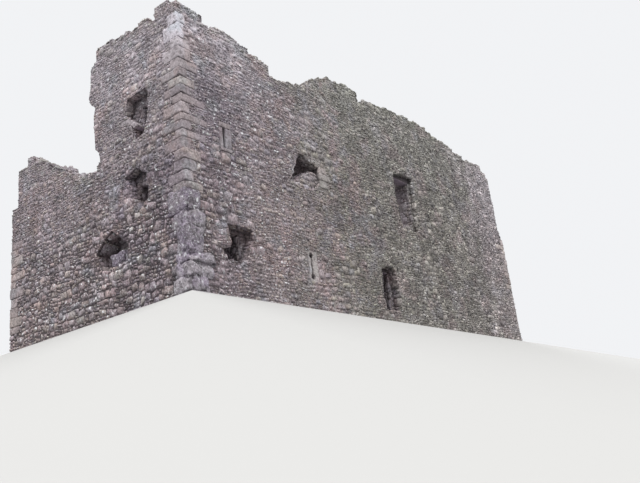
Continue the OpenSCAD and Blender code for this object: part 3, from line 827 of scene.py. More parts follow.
def lay_cells(kind, mask, low, u, v, base):
    """Stones of a face as first and last cells, the known ones first, and their number."""
    cell, _, _, slender = KINDS[kind]
    known = known_cells(kind, cell, low) if kind in KNOWN_STONES else np.zeros((0, 4), int)
    free = mask.copy()
    for x0, y0, x1, y1 in known:
        free[y0:y1, x0:x1] = False
    rest = lay(free, low, large_cells(mask, low, cell, u, v, base), slender)
    return np.vstack([known, rest]), len(known)


def bend_courses(world, u, v, loose):
    """Bends the courses where stones are away from an edge, and keeps them above the base."""
    sway = loose[:, None, None] * SWAY
    world = world + sway * (noise(world, UP_SIZE, UP_SEED) - 0.5)[..., None] * v
    world = world + sway * (noise(world, ALONG_SIZE, ALONG_SEED) - 0.5)[..., None] * u
    world[..., 2] = np.maximum(world[..., 2], KEEP_LOW[2])
    return world


print("courses sway by up to", SWAY / 2, "m")

# %% Lay a face
JOINT = 0.006
STONE_SIZES = (0.82, 1.08)
SMALLEST_FACE = 0.01


def lay_face(triangles, normal, heaps):
    """Lays one face of the walls with stones."""
    depth = triangles[0, 0] @ normal
    if normal[2] < -LEVEL and abs(depth) < PROBE:
        return
    kind = kind_of(normal, depth)
    cell = KINDS[kind][0]
    mask, low = face_cells(triangles, normal, cell)
    if mask.sum() * cell * cell < SMALLEST_FACE:
        return
    u, v = axes_of(normal)
    base = normal * depth
    stones, known = lay_cells(kind, mask, low, u, v, base)
    half = (stones[:, 2:] - stones[:, :2]) * cell / 2
    half = half * rng.uniform(*STONE_SIZES, (len(stones), 2))
    middle = (stones[:, 2:] + stones[:, :2]) / 2
    place = on_face(*(middle + low + rng.normal(0, UNEVEN, middle.shape)).T, cell, u, v, base)
    proud = how_proud(kind, place, half)
    picks, turns = picks_and_turns(kind, half, known)
    numbers = np.column_stack([picks, *exposure(kind, place, normal)])
    inner = edge_distance(mask)[middle[:, 1].astype(int), middle[:, 0].astype(int)] * cell
    loose = np.clip((inner - half.max(1)) / SWAY_MARGIN, 0, 1)
    for sides in (6, 8):
        chosen = (half.min(1) * 2 >= BIG_STONE) == (sides == 8)
        if not chosen.any():
            continue
        across, up = (half[chosen] - JOINT).T
        shapes = stone_shapes(across, up, proud[chosen, None], turns[chosen, None], sides)
        world = place[chosen, None] + shapes[..., :1] * u + shapes[..., 1:2] * v + shapes[..., 2:] * normal
        world = bend_courses(world, u, v, loose[chosen])
        low_down = (place[chosen, 2] < HALL_FLOOR) & (kind == "front_upper_stones")
        for part, name in ((low_down, "front_lower_stones"), (~low_down, kind)):
            if part.any():
                heaps[name].add(world[part], sides, numbers[chosen][part])


heaps = {kind: Heap() for kind in KINDS}
for triangles, normal in WALL_FACES:
    lay_face(triangles, normal, heaps)
print(sum(heap.stones for heap in heaps.values()), "stones laid")

# %% [markdown]
# ## Worn dressed stones
#
# The corner stones, lintels and surrounds were cut square, and centuries of weather have
# rounded and chipped them. A bevel modifier gives every arris the same clean radius, so
# each block is rebuilt instead: a cube with fine cuts near its edges is pulled to a
# rounded box, then a noise makes its faces uneven and chips its arrises.


# %% Find the blocks of a node
def loose_parts(name):
    """Lowest and highest corner of each separate solid of a node."""
    co, tri = node_mesh(name)
    _, same = np.unique(np.round(co, 4), axis=0, return_inverse=True)
    tri = same.reshape(-1)[tri]
    group = np.arange(tri.max() + 1)
    for _ in range(len(tri)):
        lowest = group[tri].min(1)
        new = group.copy()
        for k in range(3):
            np.minimum.at(new, tri[:, k], lowest)
        if np.array_equal(new, group):
            break
        group = new
    label = group[same.reshape(-1)]
    return [(co[label == g].min(0), co[label == g].max(0)) for g in np.unique(label)]


print("near corner stones:", len(loose_parts("near_quoins")))

# %% A cube with fine cuts near its edges
NEAR_EDGE, MIDDLE = np.array([0.8, 0.94, 1]), 0.55


def grid_squares(wide, deep):
    """Corners of the squares between points that lie in rows, wide by deep of them."""
    i, j = np.meshgrid(np.arange(wide - 1), np.arange(deep - 1), indexing="ij")
    a = (i * deep + j).ravel()
    return np.column_stack([a, a + deep, a + deep + 1, a + 1])


def cube_grid(cuts):
    """Points from -1 to 1 and squares of a cube, with that many cuts amid each face."""
    ticks = np.concatenate([-NEAR_EDGE[::-1], np.linspace(-MIDDLE, MIDDLE, cuts), NEAR_EDGE])
    n = len(ticks)
    points, faces = [], []
    for axis in range(3):
        for side in (-1, 1):
            grid = np.empty((n, n, 3))
            grid[..., axis] = side
            grid[..., (axis + 1) % 3] = ticks[:, None]
            grid[..., (axis + 2) % 3] = ticks[None, :]
            quad = grid_squares(n, n) + len(points) * n * n
            points.append(grid.reshape(-1, 3))
            faces.append(quad if side > 0 else quad[:, ::-1])
    points, same = np.unique(np.round(np.vstack(points), 6), axis=0, return_inverse=True)
    return points, same.reshape(-1)[np.vstack(faces)]


GRID_POINTS, GRID_FACES = cube_grid(4)
print("points and squares of a block:", len(GRID_POINTS), len(GRID_FACES))

# %% Wear a block
ROUNDEST, ARRIS, TINY = 0.9, 0.25, 1e-9
LUMP, SMALL_LUMP, SMALL_SHARE, LUMP_MEAN = 0.28, 0.11, 0.5, 0.75
CHIP, CHIPPED_FROM, CHIP_DEPTH, ON_FACE, ON_ARRIS = 0.09, 0.6, 2.2, 0.35, 1.4


def worn_block(grid, low, high, worn, rough, askew, seed):
    """The grid's cube as a stone that fills a box, with arrises worn by that radius."""
    half = (high - low) / 2
    radius = min(worn, half.min() * ROUNDEST)
    p = grid * half
    core = np.clip(p, -(half - radius), half - radius)
    out = p - core
    size = np.linalg.norm(out, axis=1, keepdims=True)
    way = out / np.maximum(size, TINY)
    at = p + (low + high) / 2
    lumps = noise(at, LUMP, seed) + SMALL_SHARE * noise(at, SMALL_LUMP, seed + 1) - LUMP_MEAN
    chips = np.clip(noise(at, CHIP, seed + 2) - CHIPPED_FROM, 0, 1) * CHIP_DEPTH
    arris = np.count_nonzero(np.abs(out) > radius * ARRIS, axis=1) > 1
    depth = radius + rough * lumps - rough * chips * (ON_FACE + ON_ARRIS * arris)
    stone = core + way * depth[:, None]
    return stone + np.cross(rng.normal(0, askew, 3), stone) + (low + high) / 2


print("cuts nearest to an arris:", np.unique(GRID_POINTS[:, 0])[:3])

# %% Dress a node
PALE_FROM, PALE_OVER = 7.0, 1.2
PROUD_VARIES = (0.4, 1.4)
BLOCK_SEEDS = 1e6


def block_numbers(picks, crowns, count):
    """The picks and crowns of blocks, repeated for each of their points."""
    return {"pick": np.repeat(picks, count), "crown": np.repeat(crowns, count)}


def dressed(node, name, material, slot, worn=0.03, rough=0.03, proud=0.028, askew=0.012, grow=0.004):
    """A mesh of worn blocks in place of a node's plain ones, each grown a little."""
    points, picks, crowns = [], [], []
    for low, high in loose_parts(node):
        low, high = low - grow, high + grow
        for axis in (0, 1):
            if low[axis] < KEEP_LOW[axis] + PROBE:
                low[axis] -= proud * rng.uniform(*PROUD_VARIES)
            if high[axis] > KEEP_HIGH[axis] - PROBE:
                high[axis] += proud * rng.uniform(*PROUD_VARIES)
        block = worn_block(GRID_POINTS, low, high, worn, rough, askew, int(rng.integers(BLOCK_SEEDS)))
        block[:, 2] = np.maximum(block[:, 2], KEEP_LOW[2])
        points.append(block)
        picks.append(rng.random())
        crowns.append(np.clip((high[2] - PALE_FROM) / PALE_OVER, 0, 1))
    count = len(GRID_POINTS)
    faces = repeated(GRID_FACES, len(points), count)
    obj = mesh_of(name, np.vstack(points), faces, block_numbers(picks, crowns, count))
    obj.data.polygons.foreach_set("use_smooth", np.ones(len(faces), bool))
    obj.data.materials.append(material)
    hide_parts(node)
    print(f"{name}: {len(points)} blocks, {2 * len(faces)} triangles")


print("blocks are bleached from", PALE_FROM, "m up")

# %% [markdown]
# ## Writing shader nodes
#
# A material's nodes can be clicked together by hand, but in a script each needs five
# lines. This small helper turns them into plain calls, so that a finish reads like a
# recipe. A value can be a number, a colour or the socket of another node.


# %% A helper for node trees
class Net:
    """Small help to write a node tree as plain calls."""

    def __init__(self, tree):
        self.tree = tree

    def node(self, kind, **settings):
        """A new node with its settings."""
        made = self.tree.nodes.new(kind)
        for key, value in settings.items():
            setattr(made, key, value)
        return made

    def put(self, socket, value):
        """Gives an input a value, or links another node's output to it."""
        if isinstance(value, bpy.types.NodeSocket):
            self.tree.links.new(value, socket)
        else:
            socket.default_value = value

    def math(self, operation, a, b=0.0):
        """Works out one number from two."""
        made = self.node("ShaderNodeMath", operation=operation)
        self.put(made.inputs[0], a)
        self.put(made.inputs[1], b)
        return made.outputs[0]

    def times(self, first, *others):
        """Multiplies numbers."""
        for other in others:
            first = self.math("MULTIPLY", first, other)
        return first

    def split(self, vector):
        """The three numbers of a place or a direction."""
        made = self.node("ShaderNodeSeparateXYZ")
        self.put(made.inputs[0], vector)
        return made.outputs

    def place(self):
        """The place on the keep, in metres."""
        return self.node("ShaderNodeTexCoord").outputs["Object"]


print("calls of the helper:", ", ".join(key for key in vars(Net) if key[0] != "_"))

# %% [markdown]
# The finishes themselves are made mostly of four things: a mix of two colours, a number
# spread smoothly over a range, a noise, and a ramp of tones. They go on top of the plain
# calls. A noise can be moved by an offset, so that no two patterns fall into step.

# %% Mixes, noises and ramps
APART = (1.0, 1.7, 0.6)


class Recipe(Net):
    """The calls that the finishes are written in."""

    def mix(self, factor, a, b, blend="MIX"):
        """Goes from colour a to colour b."""
        made = self.node("ShaderNodeMix", data_type="RGBA", blend_type=blend)
        self.put(made.inputs["Factor"], factor)
        self.put(made.inputs[6], a)
        self.put(made.inputs[7], b)
        return made.outputs[2]

    def spread(self, value, low, high, to_low=0.0, to_high=1.0):
        """Turns low to high into to_low to to_high, smoothly and no further."""
        made = self.node("ShaderNodeMapRange", interpolation_type="SMOOTHSTEP")
        for socket, given in zip(made.inputs, (value, low, high, to_low, to_high)):
            self.put(socket, given)
        return made.outputs[0]

    def noise(self, place, scale, detail=3.0, roughness=0.55, offset=0.0):
        """A noise with scale lumps to the metre."""
        made = self.node("ShaderNodeTexNoise")
        moved = self.node("ShaderNodeVectorMath", operation="ADD")
        self.put(moved.inputs[0], place)
        moved.inputs[1].default_value = [offset * share for share in APART]
        self.put(made.inputs["Vector"], moved.outputs[0])
        self.put(made.inputs["Scale"], scale)
        made.inputs["Detail"].default_value = detail
        made.inputs["Roughness"].default_value = roughness
        return made.outputs["Fac"]

    def patches(self, place, scale, low, high, detail=3.0, roughness=0.55, offset=0.0):
        """Patches of a noise, from none at low to full at high."""
        return self.spread(self.noise(place, scale, detail, roughness, offset), low, high)

    def ramp(self, value, stops):
        """A colour from a list of stops."""
        made = self.node("ShaderNodeValToRGB")
        self.put(made.inputs[0], value)
        parts = made.color_ramp.elements
        while len(parts) < len(stops):
            parts.new(1.0)
        for part, (at, colour) in zip(parts, stops):
            part.position = at
            part.color = (*colour, 1)
        return made.outputs[0]


print("calls for the finishes:", ", ".join(key for key in vars(Recipe) if key[0] != "_"))

# %% Start a node group
FLOAT, VECTOR, COLOUR = "NodeSocketFloat", "NodeSocketVector", "NodeSocketColor"


def group(name, inputs, outputs):
    """An empty node group with the sockets given as (name, kind, value)."""
    tree = bpy.data.node_groups.new(name, "ShaderNodeTree")
    for key, kind, value in inputs:
        socket = tree.interface.new_socket(key, in_out="INPUT", socket_type=kind)
        socket.default_value = value
    for key, kind in outputs:
        tree.interface.new_socket(key, in_out="OUTPUT", socket_type=kind)
    net = Recipe(tree)
    return net, net.node("NodeGroupInput"), net.node("NodeGroupOutput")


print("kinds of socket:", FLOAT, VECTOR, COLOUR)

# %% [markdown]
# ## Weathering, as a shared group
#
# The same weather has worked on the mortar, the rubble and the dressed stones, so one
# group works it out from the place on the keep and each material takes what it needs.
# Places are told by how far they lie along the front from the near corner, by their
# height, and by whether they are on the front or on the left end, each a smooth mask.

# %% Where a point is on the keep
SKIN = (0.3, 0.1)


class Spot:
    """The place that a material works on, with its distances and masks."""

    def __init__(self, net):
        self.place = net.place()
        self.x, self.y, self.height = net.split(self.place)
        self.along = net.math("SUBTRACT", self.x, float(KEEP_LOW[0]))
        self.back = net.math("SUBTRACT", self.y, float(KEEP_LOW[1]))
        self.on_front = net.spread(self.back, *SKIN)
        self.on_left = net.spread(self.along, *SKIN)
        self.fine = net.noise(self.place, 4.5, 4.0, 0.6, offset=7.3)


print("a point counts as on a face within", min(SKIN), "m of it")

# %% [markdown]
# The foot of the near corner has lost its mortar. The high parts are bleached by rain,
# most of all on the front beside the near corner, and a lump that stands up on the
# front's broken head is paler than all round it.

# %% Robbed foot and bleached heights
ROBBED_LUMP, ROBBED_RAGGED, ROBBED_FADE = 1.3, 3.0, 0.8
BLEACHED_HEIGHTS, BLEACHED_ALONG, BLEACHED_LEFT = (4.0, 9.0), (4.0, 1.5), 0.48
LUMP_ALONG, LUMP_HALF, LUMP_HEIGHTS = 8.65, 0.75, (8.0, 8.5)


def robbed_foot(net, spot):
    """The mortarless foot of the near corner, with a ragged border."""
    ragged = net.math("SUBTRACT", net.noise(spot.place, ROBBED_LUMP, 2.0, 0.5), 0.5)
    ragged = net.times(ragged, ROBBED_RAGGED)
    foot = net.spread(net.math("ADD", spot.height, ragged), LARGE_TOP, LARGE_TOP - ROBBED_FADE)
    near = net.spread(net.math("ADD", spot.along, ragged), LARGE_REACH, 0.5 * LARGE_REACH)
    return net.times(foot, near)


def bleached(net, spot):
    """The rain-bleached heights, and the pale lump that stands up on the front's head."""
    patchy = net.spread(spot.fine, 0.25, 0.6, 0.4, 1.0)
    heights = net.times(net.spread(spot.height, *BLEACHED_HEIGHTS), patchy)
    heights = net.times(heights, net.spread(spot.along, *BLEACHED_ALONG, 0.6, 1.7))
    heights = net.times(heights, net.math("SUBTRACT", 1.0, net.times(spot.on_left, BLEACHED_LEFT)))
    lump_side = net.math("ABSOLUTE", net.math("SUBTRACT", spot.along, LUMP_ALONG))
    lump = net.spread(lump_side, LUMP_HALF, 0.5 * LUMP_HALF)
    return net.math("MAXIMUM", heights, net.times(lump, net.spread(spot.height, *LUMP_HEIGHTS)))


print("pale lump", LUMP_ALONG, "m from the near corner")

# %% [markdown]
# Every stone is speckled, with blotches across several stones. At the foot of the left
# end, where the mortar has gone, and far along the front, light and dark differ most.
# Two noises of different scale are multiplied for this, since one noise can't have both,
# and a few lines set how strong the speckle is in each part of the keep.

# %% Speckles and blotches
SPECKLE, DARK_SPECKLE, LIGHT_SPECKLE = 14.0, 0.58, 1.44
WEAKER_BLEACHED, STRONGER_FAR, STRONGER_FOOT = 0.3, 0.16, 0.15
BLOTCH, DARK_BLOTCH, LIGHT_BLOTCH = 1.5, 0.84, 1.16
END_FOOT = (4.6, 3.9)


def mottled(net, spot, bleach, far):
    """A factor round 1 that makes stone and mortar lighter and darker."""
    end_foot = net.times(net.spread(spot.height, *END_FOOT), spot.on_left, STRONGER_FOOT)
    weak = net.math("SUBTRACT", net.times(bleach, WEAKER_BLEACHED), net.times(far, STRONGER_FAR))
    weak = net.math("SUBTRACT", weak, end_foot)
    dark = net.math("ADD", weak, DARK_SPECKLE)
    light = net.math("SUBTRACT", LIGHT_SPECKLE, weak)
    mottle = net.spread(net.noise(spot.place, SPECKLE, 5.0, 0.75, offset=4.2), 0.3, 0.7, dark, light)
    blotch = net.noise(spot.place, BLOTCH, 3.0, 0.55, offset=8.8)
    return net.times(mottle, net.spread(blotch, 0.35, 0.65, DARK_BLOTCH, LIGHT_BLOTCH))


print("speckles about", round(1 / SPECKLE, 2), "m across, blotches", round(1 / BLOTCH, 2))

# %% [markdown]
# Inside an opening, light and shade are painted onto the mortar and the dressed stones.
# The mortar on deep faces gets a paler colour, a painted fill light. The sides of narrow
# slots get a near-black painted shade, and undersides under a lintel a purplish painted
# shade. The masks come from how far the point lies behind the outer face and from which
# way the surface faces, so they hold for every opening without a list of them.

# %% Masks inside the openings
WITHIN_WALL = (1.25, 1.2)
SHADE_DEPTHS, SLOT_DEPTHS, OVER_DEPTHS = (0.4, 0.8), (0.01, 0.09), (0.02, 0.2)
NOT_UP, NOT_DOWN, DOWN = (0.6, 0.4), (-0.6, -0.4), (-0.5, -0.7)


def in_openings(net, spot):
    """Masks for painted light and shade: deep faces, the sides of narrow slots and undersides."""
    from_end = net.math("SUBTRACT", float(KEEP_HIGH[0]), net.math("ABSOLUTE", spot.x))
    from_front = net.math("SUBTRACT", float(KEEP_HIGH[1]), net.math("ABSOLUTE", spot.y))
    depth = net.math("MINIMUM", from_end, from_front)
    within = net.spread(depth, *WITHIN_WALL)
    facing_up = net.split(net.node("ShaderNodeNewGeometry").outputs["True Normal"])[2]
    walls = net.times(within, net.spread(facing_up, *NOT_UP))
    shade = net.times(walls, net.spread(depth, *SHADE_DEPTHS))
    slot = net.times(walls, net.spread(facing_up, *NOT_DOWN), net.spread(depth, *SLOT_DEPTHS))
    over = net.times(within, net.spread(facing_up, *DOWN), net.spread(depth, *OVER_DEPTHS))
    return shade, slot, over


print("shade is full", max(SHADE_DEPTHS), "m in, a slot is black", max(SLOT_DEPTHS), "m in")

# %% [markdown]
# The stone changes colour along the keep: mauve at the near corner, browner near the
# base and grey-green further along the front. At the far corner it is made paler and
# hazier, which is painted glare. Rusty and bluish patches run through all of it, and rain
# has stained the foot of the left end and the strip beside the corner stones. One tint
# holds all of this, to be multiplied onto any stone.

# %% Tints
MAUVE = (0.985, 0.948, 1.0, 1)
BROWN = (1.0, 0.95, 0.96, 1)
OLIVE = (0.84, 0.885, 0.805, 1)
PAINTED_GLARE = (1.3, 1.3, 1.33, 1)
STAIN = (0.77, 0.755, 0.8, 1)
RUSTY = (1.04, 0.925, 0.93, 1)
BLUISH = (0.91, 0.97, 1.03, 1)
WHITE = (1, 1, 1, 1)
STAIN_BACK, STAIN_ALONG, STAIN_OFF_CORNER, STAIN_HEIGHTS = (3.9, 2.7), (3.0, 1.6), (0.3, 0.8), (7.5, 6.5)
BROWN_HEIGHTS, BROWNER_LEFT = (5.5, 2.0), 1.8
BORDER, BORDER_RAGGED = 0.9, 8.0
OLIVE_ALONG, HAZY_ALONG, HAZY_BACK, HAZY_HEIGHTS = (7.0, 12.5), (20.5, 24.5), (5.0, 1.0), (2.0, 6.0)


def stained(net, spot):
    """Rain stains at the left end's foot and beside the near corner's stones."""
    end_foot = net.times(net.spread(spot.height, *END_FOOT), net.spread(spot.back, *STAIN_BACK))
    beside = net.times(net.spread(spot.along, *STAIN_ALONG), net.spread(spot.along, *STAIN_OFF_CORNER))
    beside = net.times(beside, spot.on_front, net.spread(spot.height, *STAIN_HEIGHTS, 0.0, 0.85))
    return net.math("MAXIMUM", net.times(end_foot, spot.on_left), beside)


def wall_tint(net, spot, far):
    """The colour that the wall's stones are multiplied with."""
    lifted = net.math("ADD", spot.height, net.times(spot.on_left, BROWNER_LEFT))
    tint = net.mix(net.spread(lifted, *BROWN_HEIGHTS), MAUVE, BROWN)
    ragged = net.times(net.noise(spot.place, BORDER, 3.0, 0.55, offset=12.6), BORDER_RAGGED)
    across = net.math("ADD", spot.along, ragged)
    olive = net.times(net.spread(across, *OLIVE_ALONG), net.spread(spot.on_front, 0.0, 1.0, 0.4, 1.0))
    tint = net.mix(olive, tint, OLIVE)
    # The far corner is lightened: painted glare.
    corner = net.times(net.spread(across, *HAZY_ALONG), net.spread(spot.back, *HAZY_BACK))
    tint = net.mix(net.times(corner, net.spread(spot.height, *HAZY_HEIGHTS, 0.5, 1.0)), tint, PAINTED_GLARE)
    tint = net.mix(1.0, tint, net.mix(stained(net, spot), WHITE, STAIN), "MULTIPLY")
    varied = net.spread(far, 0.0, 1.0, 0.8, 0.45)
    rusty = net.patches(spot.place, 1.1, 0.5, 0.64, offset=5.1)
    tint = net.mix(net.times(rusty, varied), tint, RUSTY)
    bluish = net.patches(spot.place, 1.2, 0.52, 0.66, offset=9.4)
    return net.mix(net.times(bluish, varied), tint, BLUISH)


print("strongest tint:", min(STAIN[:3]), "to", max(PAINTED_GLARE[:3]))

# %% Join the weathering group
WEATHER_MASKS = (
    "Patch", "Mottle", "Near", "Far", "Robbed", "Moss", "Grime", "Bleach", "Shade", "Slot", "Over",
)
NEAR_ALONG, FAR_ALONG = (8.0, 2.5), (6.0, 12.0)
STREAK = (1.6, 1.6, 0.35)


def streaks(net, place):
    """Grime that runs down the wall, as a noise stretched upward."""
    stretched = net.node("ShaderNodeMapping")
    net.put(stretched.inputs["Vector"], place)
    stretched.inputs["Scale"].default_value = STREAK
    return net.patches(stretched.outputs[0], 1.0, 0.3, 0.75, 4.0, 0.6, offset=3.1)


def weather_group():
    """Patches, streaks, moss, tint and shade, from the place on the keep alone."""
    sockets = [(key, FLOAT) for key in WEATHER_MASKS] + [("Tint", COLOUR)]
    net, given, out = group("weathering", [("Crown", FLOAT, 0.0)], sockets)
    spot = Spot(net)
    near = net.spread(spot.along, *NEAR_ALONG)
    far = net.times(spot.on_front, net.spread(spot.along, *FAR_ALONG))
    moss = net.times(given.outputs["Crown"], net.spread(spot.fine, 0.35, 0.62))
    bleach = bleached(net, spot)
    masks = (
        net.noise(spot.place, 0.55, 3.0, 0.5), mottled(net, spot, bleach, far), near, far,
        robbed_foot(net, spot), moss, streaks(net, spot.place), bleach, *in_openings(net, spot),
    )
    for key, mask in zip(WEATHER_MASKS, masks):
        net.put(out.inputs[key], mask)
    net.put(out.inputs["Tint"], wall_tint(net, spot, far))
    return net.tree


WEATHER = weather_group()
print("weathering group:", len(WEATHER.nodes), "nodes")

# %% [markdown]
# ## Grain, as a shared group
#
# Seen close, whinstone and sandstone are broken and pitted, with pale flecks and, here
# and there, white lichen that grows in colonies. The pale flecks stand partly for the
# stone's grain and partly for glints, as painted highlights. One coarse and one fine noise
# make the bumps, and where the coarse one dips the pit is darkened, which is painted
# shade. Height and coarseness are inputs, because mortar crumbles more finely than stone.

# %% Build the grain group
PITTED, FLECKED, COLONIES, SPOTS = 42.0, 24.0, 1.7, 8.0
PITTED_SHARE = 0.42


def grain_group():
    """Pale flecks that are partly painted glints, pits of painted shade, white lichen and the bumps of
    broken stone.
    """
    net, given, out = group(
        "stone_grain", [("Height", FLOAT, 0.02), ("Coarse", FLOAT, 9.0)],
        [("Fleck", FLOAT), ("Pit", FLOAT), ("Lichen", FLOAT), ("Normal", VECTOR)],
    )
    place = net.place()
    coarse = net.noise(place, given.outputs["Coarse"], 5.0, 0.62)
    fine = net.noise(place, PITTED, 3.0, 0.65, offset=2.2)
    bump = net.node("ShaderNodeBump")
    net.put(bump.inputs["Height"], net.math("ADD", coarse, net.times(fine, PITTED_SHARE)))
    net.put(bump.inputs["Distance"], given.outputs["Height"])
    bump.inputs["Strength"].default_value = 1.0
    # Pale flecks stand partly for glints, as painted highlights; pits are painted shade where the coarse
    # bump dips.
    net.put(out.inputs["Fleck"], net.patches(place, FLECKED, 0.58, 0.7, 2.0, 0.5, offset=11.0))
    net.put(out.inputs["Pit"], net.spread(coarse, 0.49, 0.37))
    colonies = net.patches(place, COLONIES, 0.36, 0.54, 2.0, 0.5, offset=17.1)
    lichen = net.patches(place, SPOTS, 0.6, 0.66, 3.0, 0.6, offset=15.5)
    net.put(out.inputs["Lichen"], net.times(lichen, colonies))
    net.put(out.inputs["Normal"], bump.outputs[0])
    return net.tree


GRAIN = grain_group()
print("grain group:", len(GRAIN.nodes), "nodes")

# %% [markdown]
# ## How a material starts and ends
#
# All finishes here share a plan: a base colour, which comes from the stone's own pick
# where it has one, then weather, then grain, and then the shader. Dry stone has a weak
# sheen, so the roughness is high and the specular level low. These helpers hold the plan.

# %% Start and finish a material
# The pale fleck colour is partly painted glint, and the dark pit colour is painted shade.
FLECK_AND_GLINT = (0.73, 0.71, 0.705, 1)
LICHEN = (0.82, 0.82, 0.83, 1)
PIT_SHADE = (0.05, 0.042, 0.046, 1)
BLEACHED = (0.59, 0.565, 0.58, 1)
WEAK_SHEEN = 0.25


def number_of(net, key):
    """A number that the stones keep on their points."""
    return net.node("ShaderNodeAttribute", attribute_name=key).outputs["Fac"]


def new_material(name, rough):
    """A material with its shader."""
    mat = bpy.data.materials.new(name)
    mat.use_nodes = True
    shader = mat.node_tree.nodes["Principled BSDF"]
    shader.inputs["Roughness"].default_value = rough
    return mat, shader


def start_material(name, rough):
    """A material with its shader, the stone's pick and the shared groups."""
    mat, shader = new_material(name, rough)
    net = Recipe(mat.node_tree)
    shader.inputs["Specular IOR Level"].default_value = WEAK_SHEEN
    weather = net.node("ShaderNodeGroup", node_tree=WEATHER)
    net.put(weather.inputs["Crown"], number_of(net, "crown"))
    grain = net.node("ShaderNodeGroup", node_tree=GRAIN)
    return mat, net, shader, number_of(net, "pick"), weather.outputs, grain


def layer(net, colour, mask, strength, over):
    """Lays another colour over a colour where a mask shows."""
    return net.mix(net.times(mask, strength), colour, over)


def weathered(net, colour, weather, mottle=1.0):
    """Multiplies a colour with the weather's tint and mottle."""
    colour = net.mix(1.0, colour, weather["Tint"], "MULTIPLY")
    return net.mix(mottle, colour, weather["Mottle"], "MULTIPLY")


def finish_material(net, shader, colour, grain, depth, coarse):
    """Joins the colour and the bumped normal to the shader."""
    grain.inputs["Height"].default_value = depth
    grain.inputs["Coarse"].default_value = coarse
    net.put(shader.inputs["Base Color"], colour)
    net.put(shader.inputs["Normal"], grain.outputs["Normal"])


print("sheen of dry stone:", WEAK_SHEEN)

# %% A hue for each stone
HUES = [
    (0.0, (0.9, 0.93, 1.0)), (0.3, (1.0, 0.99, 1.0)), (0.55, (1.0, 0.93, 0.95)),
    (0.8, (1.0, 0.96, 0.89)), (1.0, (0.97, 0.99, 0.89)),
]
TURNS_OF_HUE, TURNS_OF_TONE = 11.0, 37.0


def own_tone(net, pick, colour, strength):
    """Makes a stone lighter or darker than its neighbours."""
    chance = net.math("FRACT", net.times(pick, TURNS_OF_TONE))
    return net.mix(strength, colour, net.spread(chance, 0.0, 1.0, 0.5, 1.5), "MULTIPLY")


def own_hue(net, pick, colour, strength):
    """Turns a stone's colour towards a hue of its own, which runs fast through the picks."""
    turn = net.math("PINGPONG", net.times(pick, TURNS_OF_HUE), 1.0)
    return net.mix(strength, colour, net.ramp(turn, HUES), "MULTIPLY")


print("hues:", len(HUES))

# %% [markdown]
# ## Rubble
#
# The rubble mixes dark whinstone, mauve and brown sandstone and a few pale stones. A
# stone's pick chooses its place on a ramp of tones, which runs slowly so that most
# stones are mid grey, and its hue runs fast, so that neighbours differ. Far along the
# front the stones differ more in tone than in hue. Flecks and lichen are strongest near
# the corner, where the real wall shows them.

# %% The rubble's material
# A pale colour painted as fill light deep in openings, and a dark one painted as shade in recesses and on
# the fallen heap.
PAINTED_FILL_LIGHT = (0.55, 0.49, 0.535, 1)
PAINTED_DARK_SHADE = (0.14, 0.115, 0.135, 1)
MOSS = (0.36, 0.365, 0.29, 1)
GRIMY = (0.16, 0.14, 0.145, 1)
RUBBLE_TONES = [
    (0.0, (0.24, 0.21, 0.21)), (0.1, (0.31, 0.275, 0.275)), (0.5, (0.37, 0.33, 0.33)),
    (0.85, (0.42, 0.375, 0.37)), (0.95, (0.5, 0.455, 0.445)), (1.0, (0.72, 0.69, 0.68)),
]


def rubble_material():
    """Stones of many tones and hues, weathered by where they lie, with painted light and shade in the
    openings.
    """
    mat, net, shader, pick, weather, grain = start_material("rubble_stone", rough=0.93)
    near, far = weather["Near"], weather["Far"]
    colour = own_hue(net, pick, net.ramp(pick, RUBBLE_TONES), net.spread(far, 0.0, 1.0, 1.0, 0.45))
    colour = own_tone(net, pick, colour, net.times(far, 0.8))
    colour = layer(net, colour, weather["Grime"], 0.3, GRIMY)
    colour = layer(net, colour, weather["Bleach"], 0.4, BLEACHED)
    colour = weathered(net, colour, weather)
    # Flecks, partly painted glints, and pits of painted shade.
    colour = layer(net, colour, grain.outputs["Fleck"], net.spread(near, 0.0, 1.0, 0.3, 0.8), FLECK_AND_GLINT)
    colour = layer(net, colour, grain.outputs["Pit"], net.spread(far, 0.0, 1.0, 0.66, 0.9), PIT_SHADE)
    colour = layer(net, colour, grain.outputs["Lichen"], net.spread(near, 0.0, 1.0, 0.25, 0.95), LICHEN)
    colour = layer(net, colour, weather["Moss"], 0.4, MOSS)
    # Painted fill light deep in an opening, then painted shade in a recess and on the fallen heap.
    colour = layer(net, colour, number_of(net, "shade"), 0.8, PAINTED_FILL_LIGHT)
    colour = layer(net, colour, number_of(net, "painted_shade"), 0.8, PAINTED_DARK_SHADE)
    finish_material(net, shader, colour, grain, depth=0.035, coarse=9.0)
    return mat


RUBBLE = rubble_material()
print(RUBBLE.name, len(RUBBLE.node_tree.nodes), "nodes")

# %% [markdown]
# ## Mortar and core
#
# Between the stones shows pinkish lime mortar, and in the breaches the mortared core of
# the wall. The model's own wall surfaces play that part. The tone changes slowly from
# patch to patch, and where the foot has been robbed the joints are empty and dark. Deep
# in an opening the mortar gets a paler painted fill light.

# %% The mortar's material
MORTAR_TONES = [(0.35, (0.26, 0.23, 0.232)), (0.65, (0.35, 0.313, 0.312))]
EMPTY_JOINT = (0.09, 0.078, 0.08, 1)


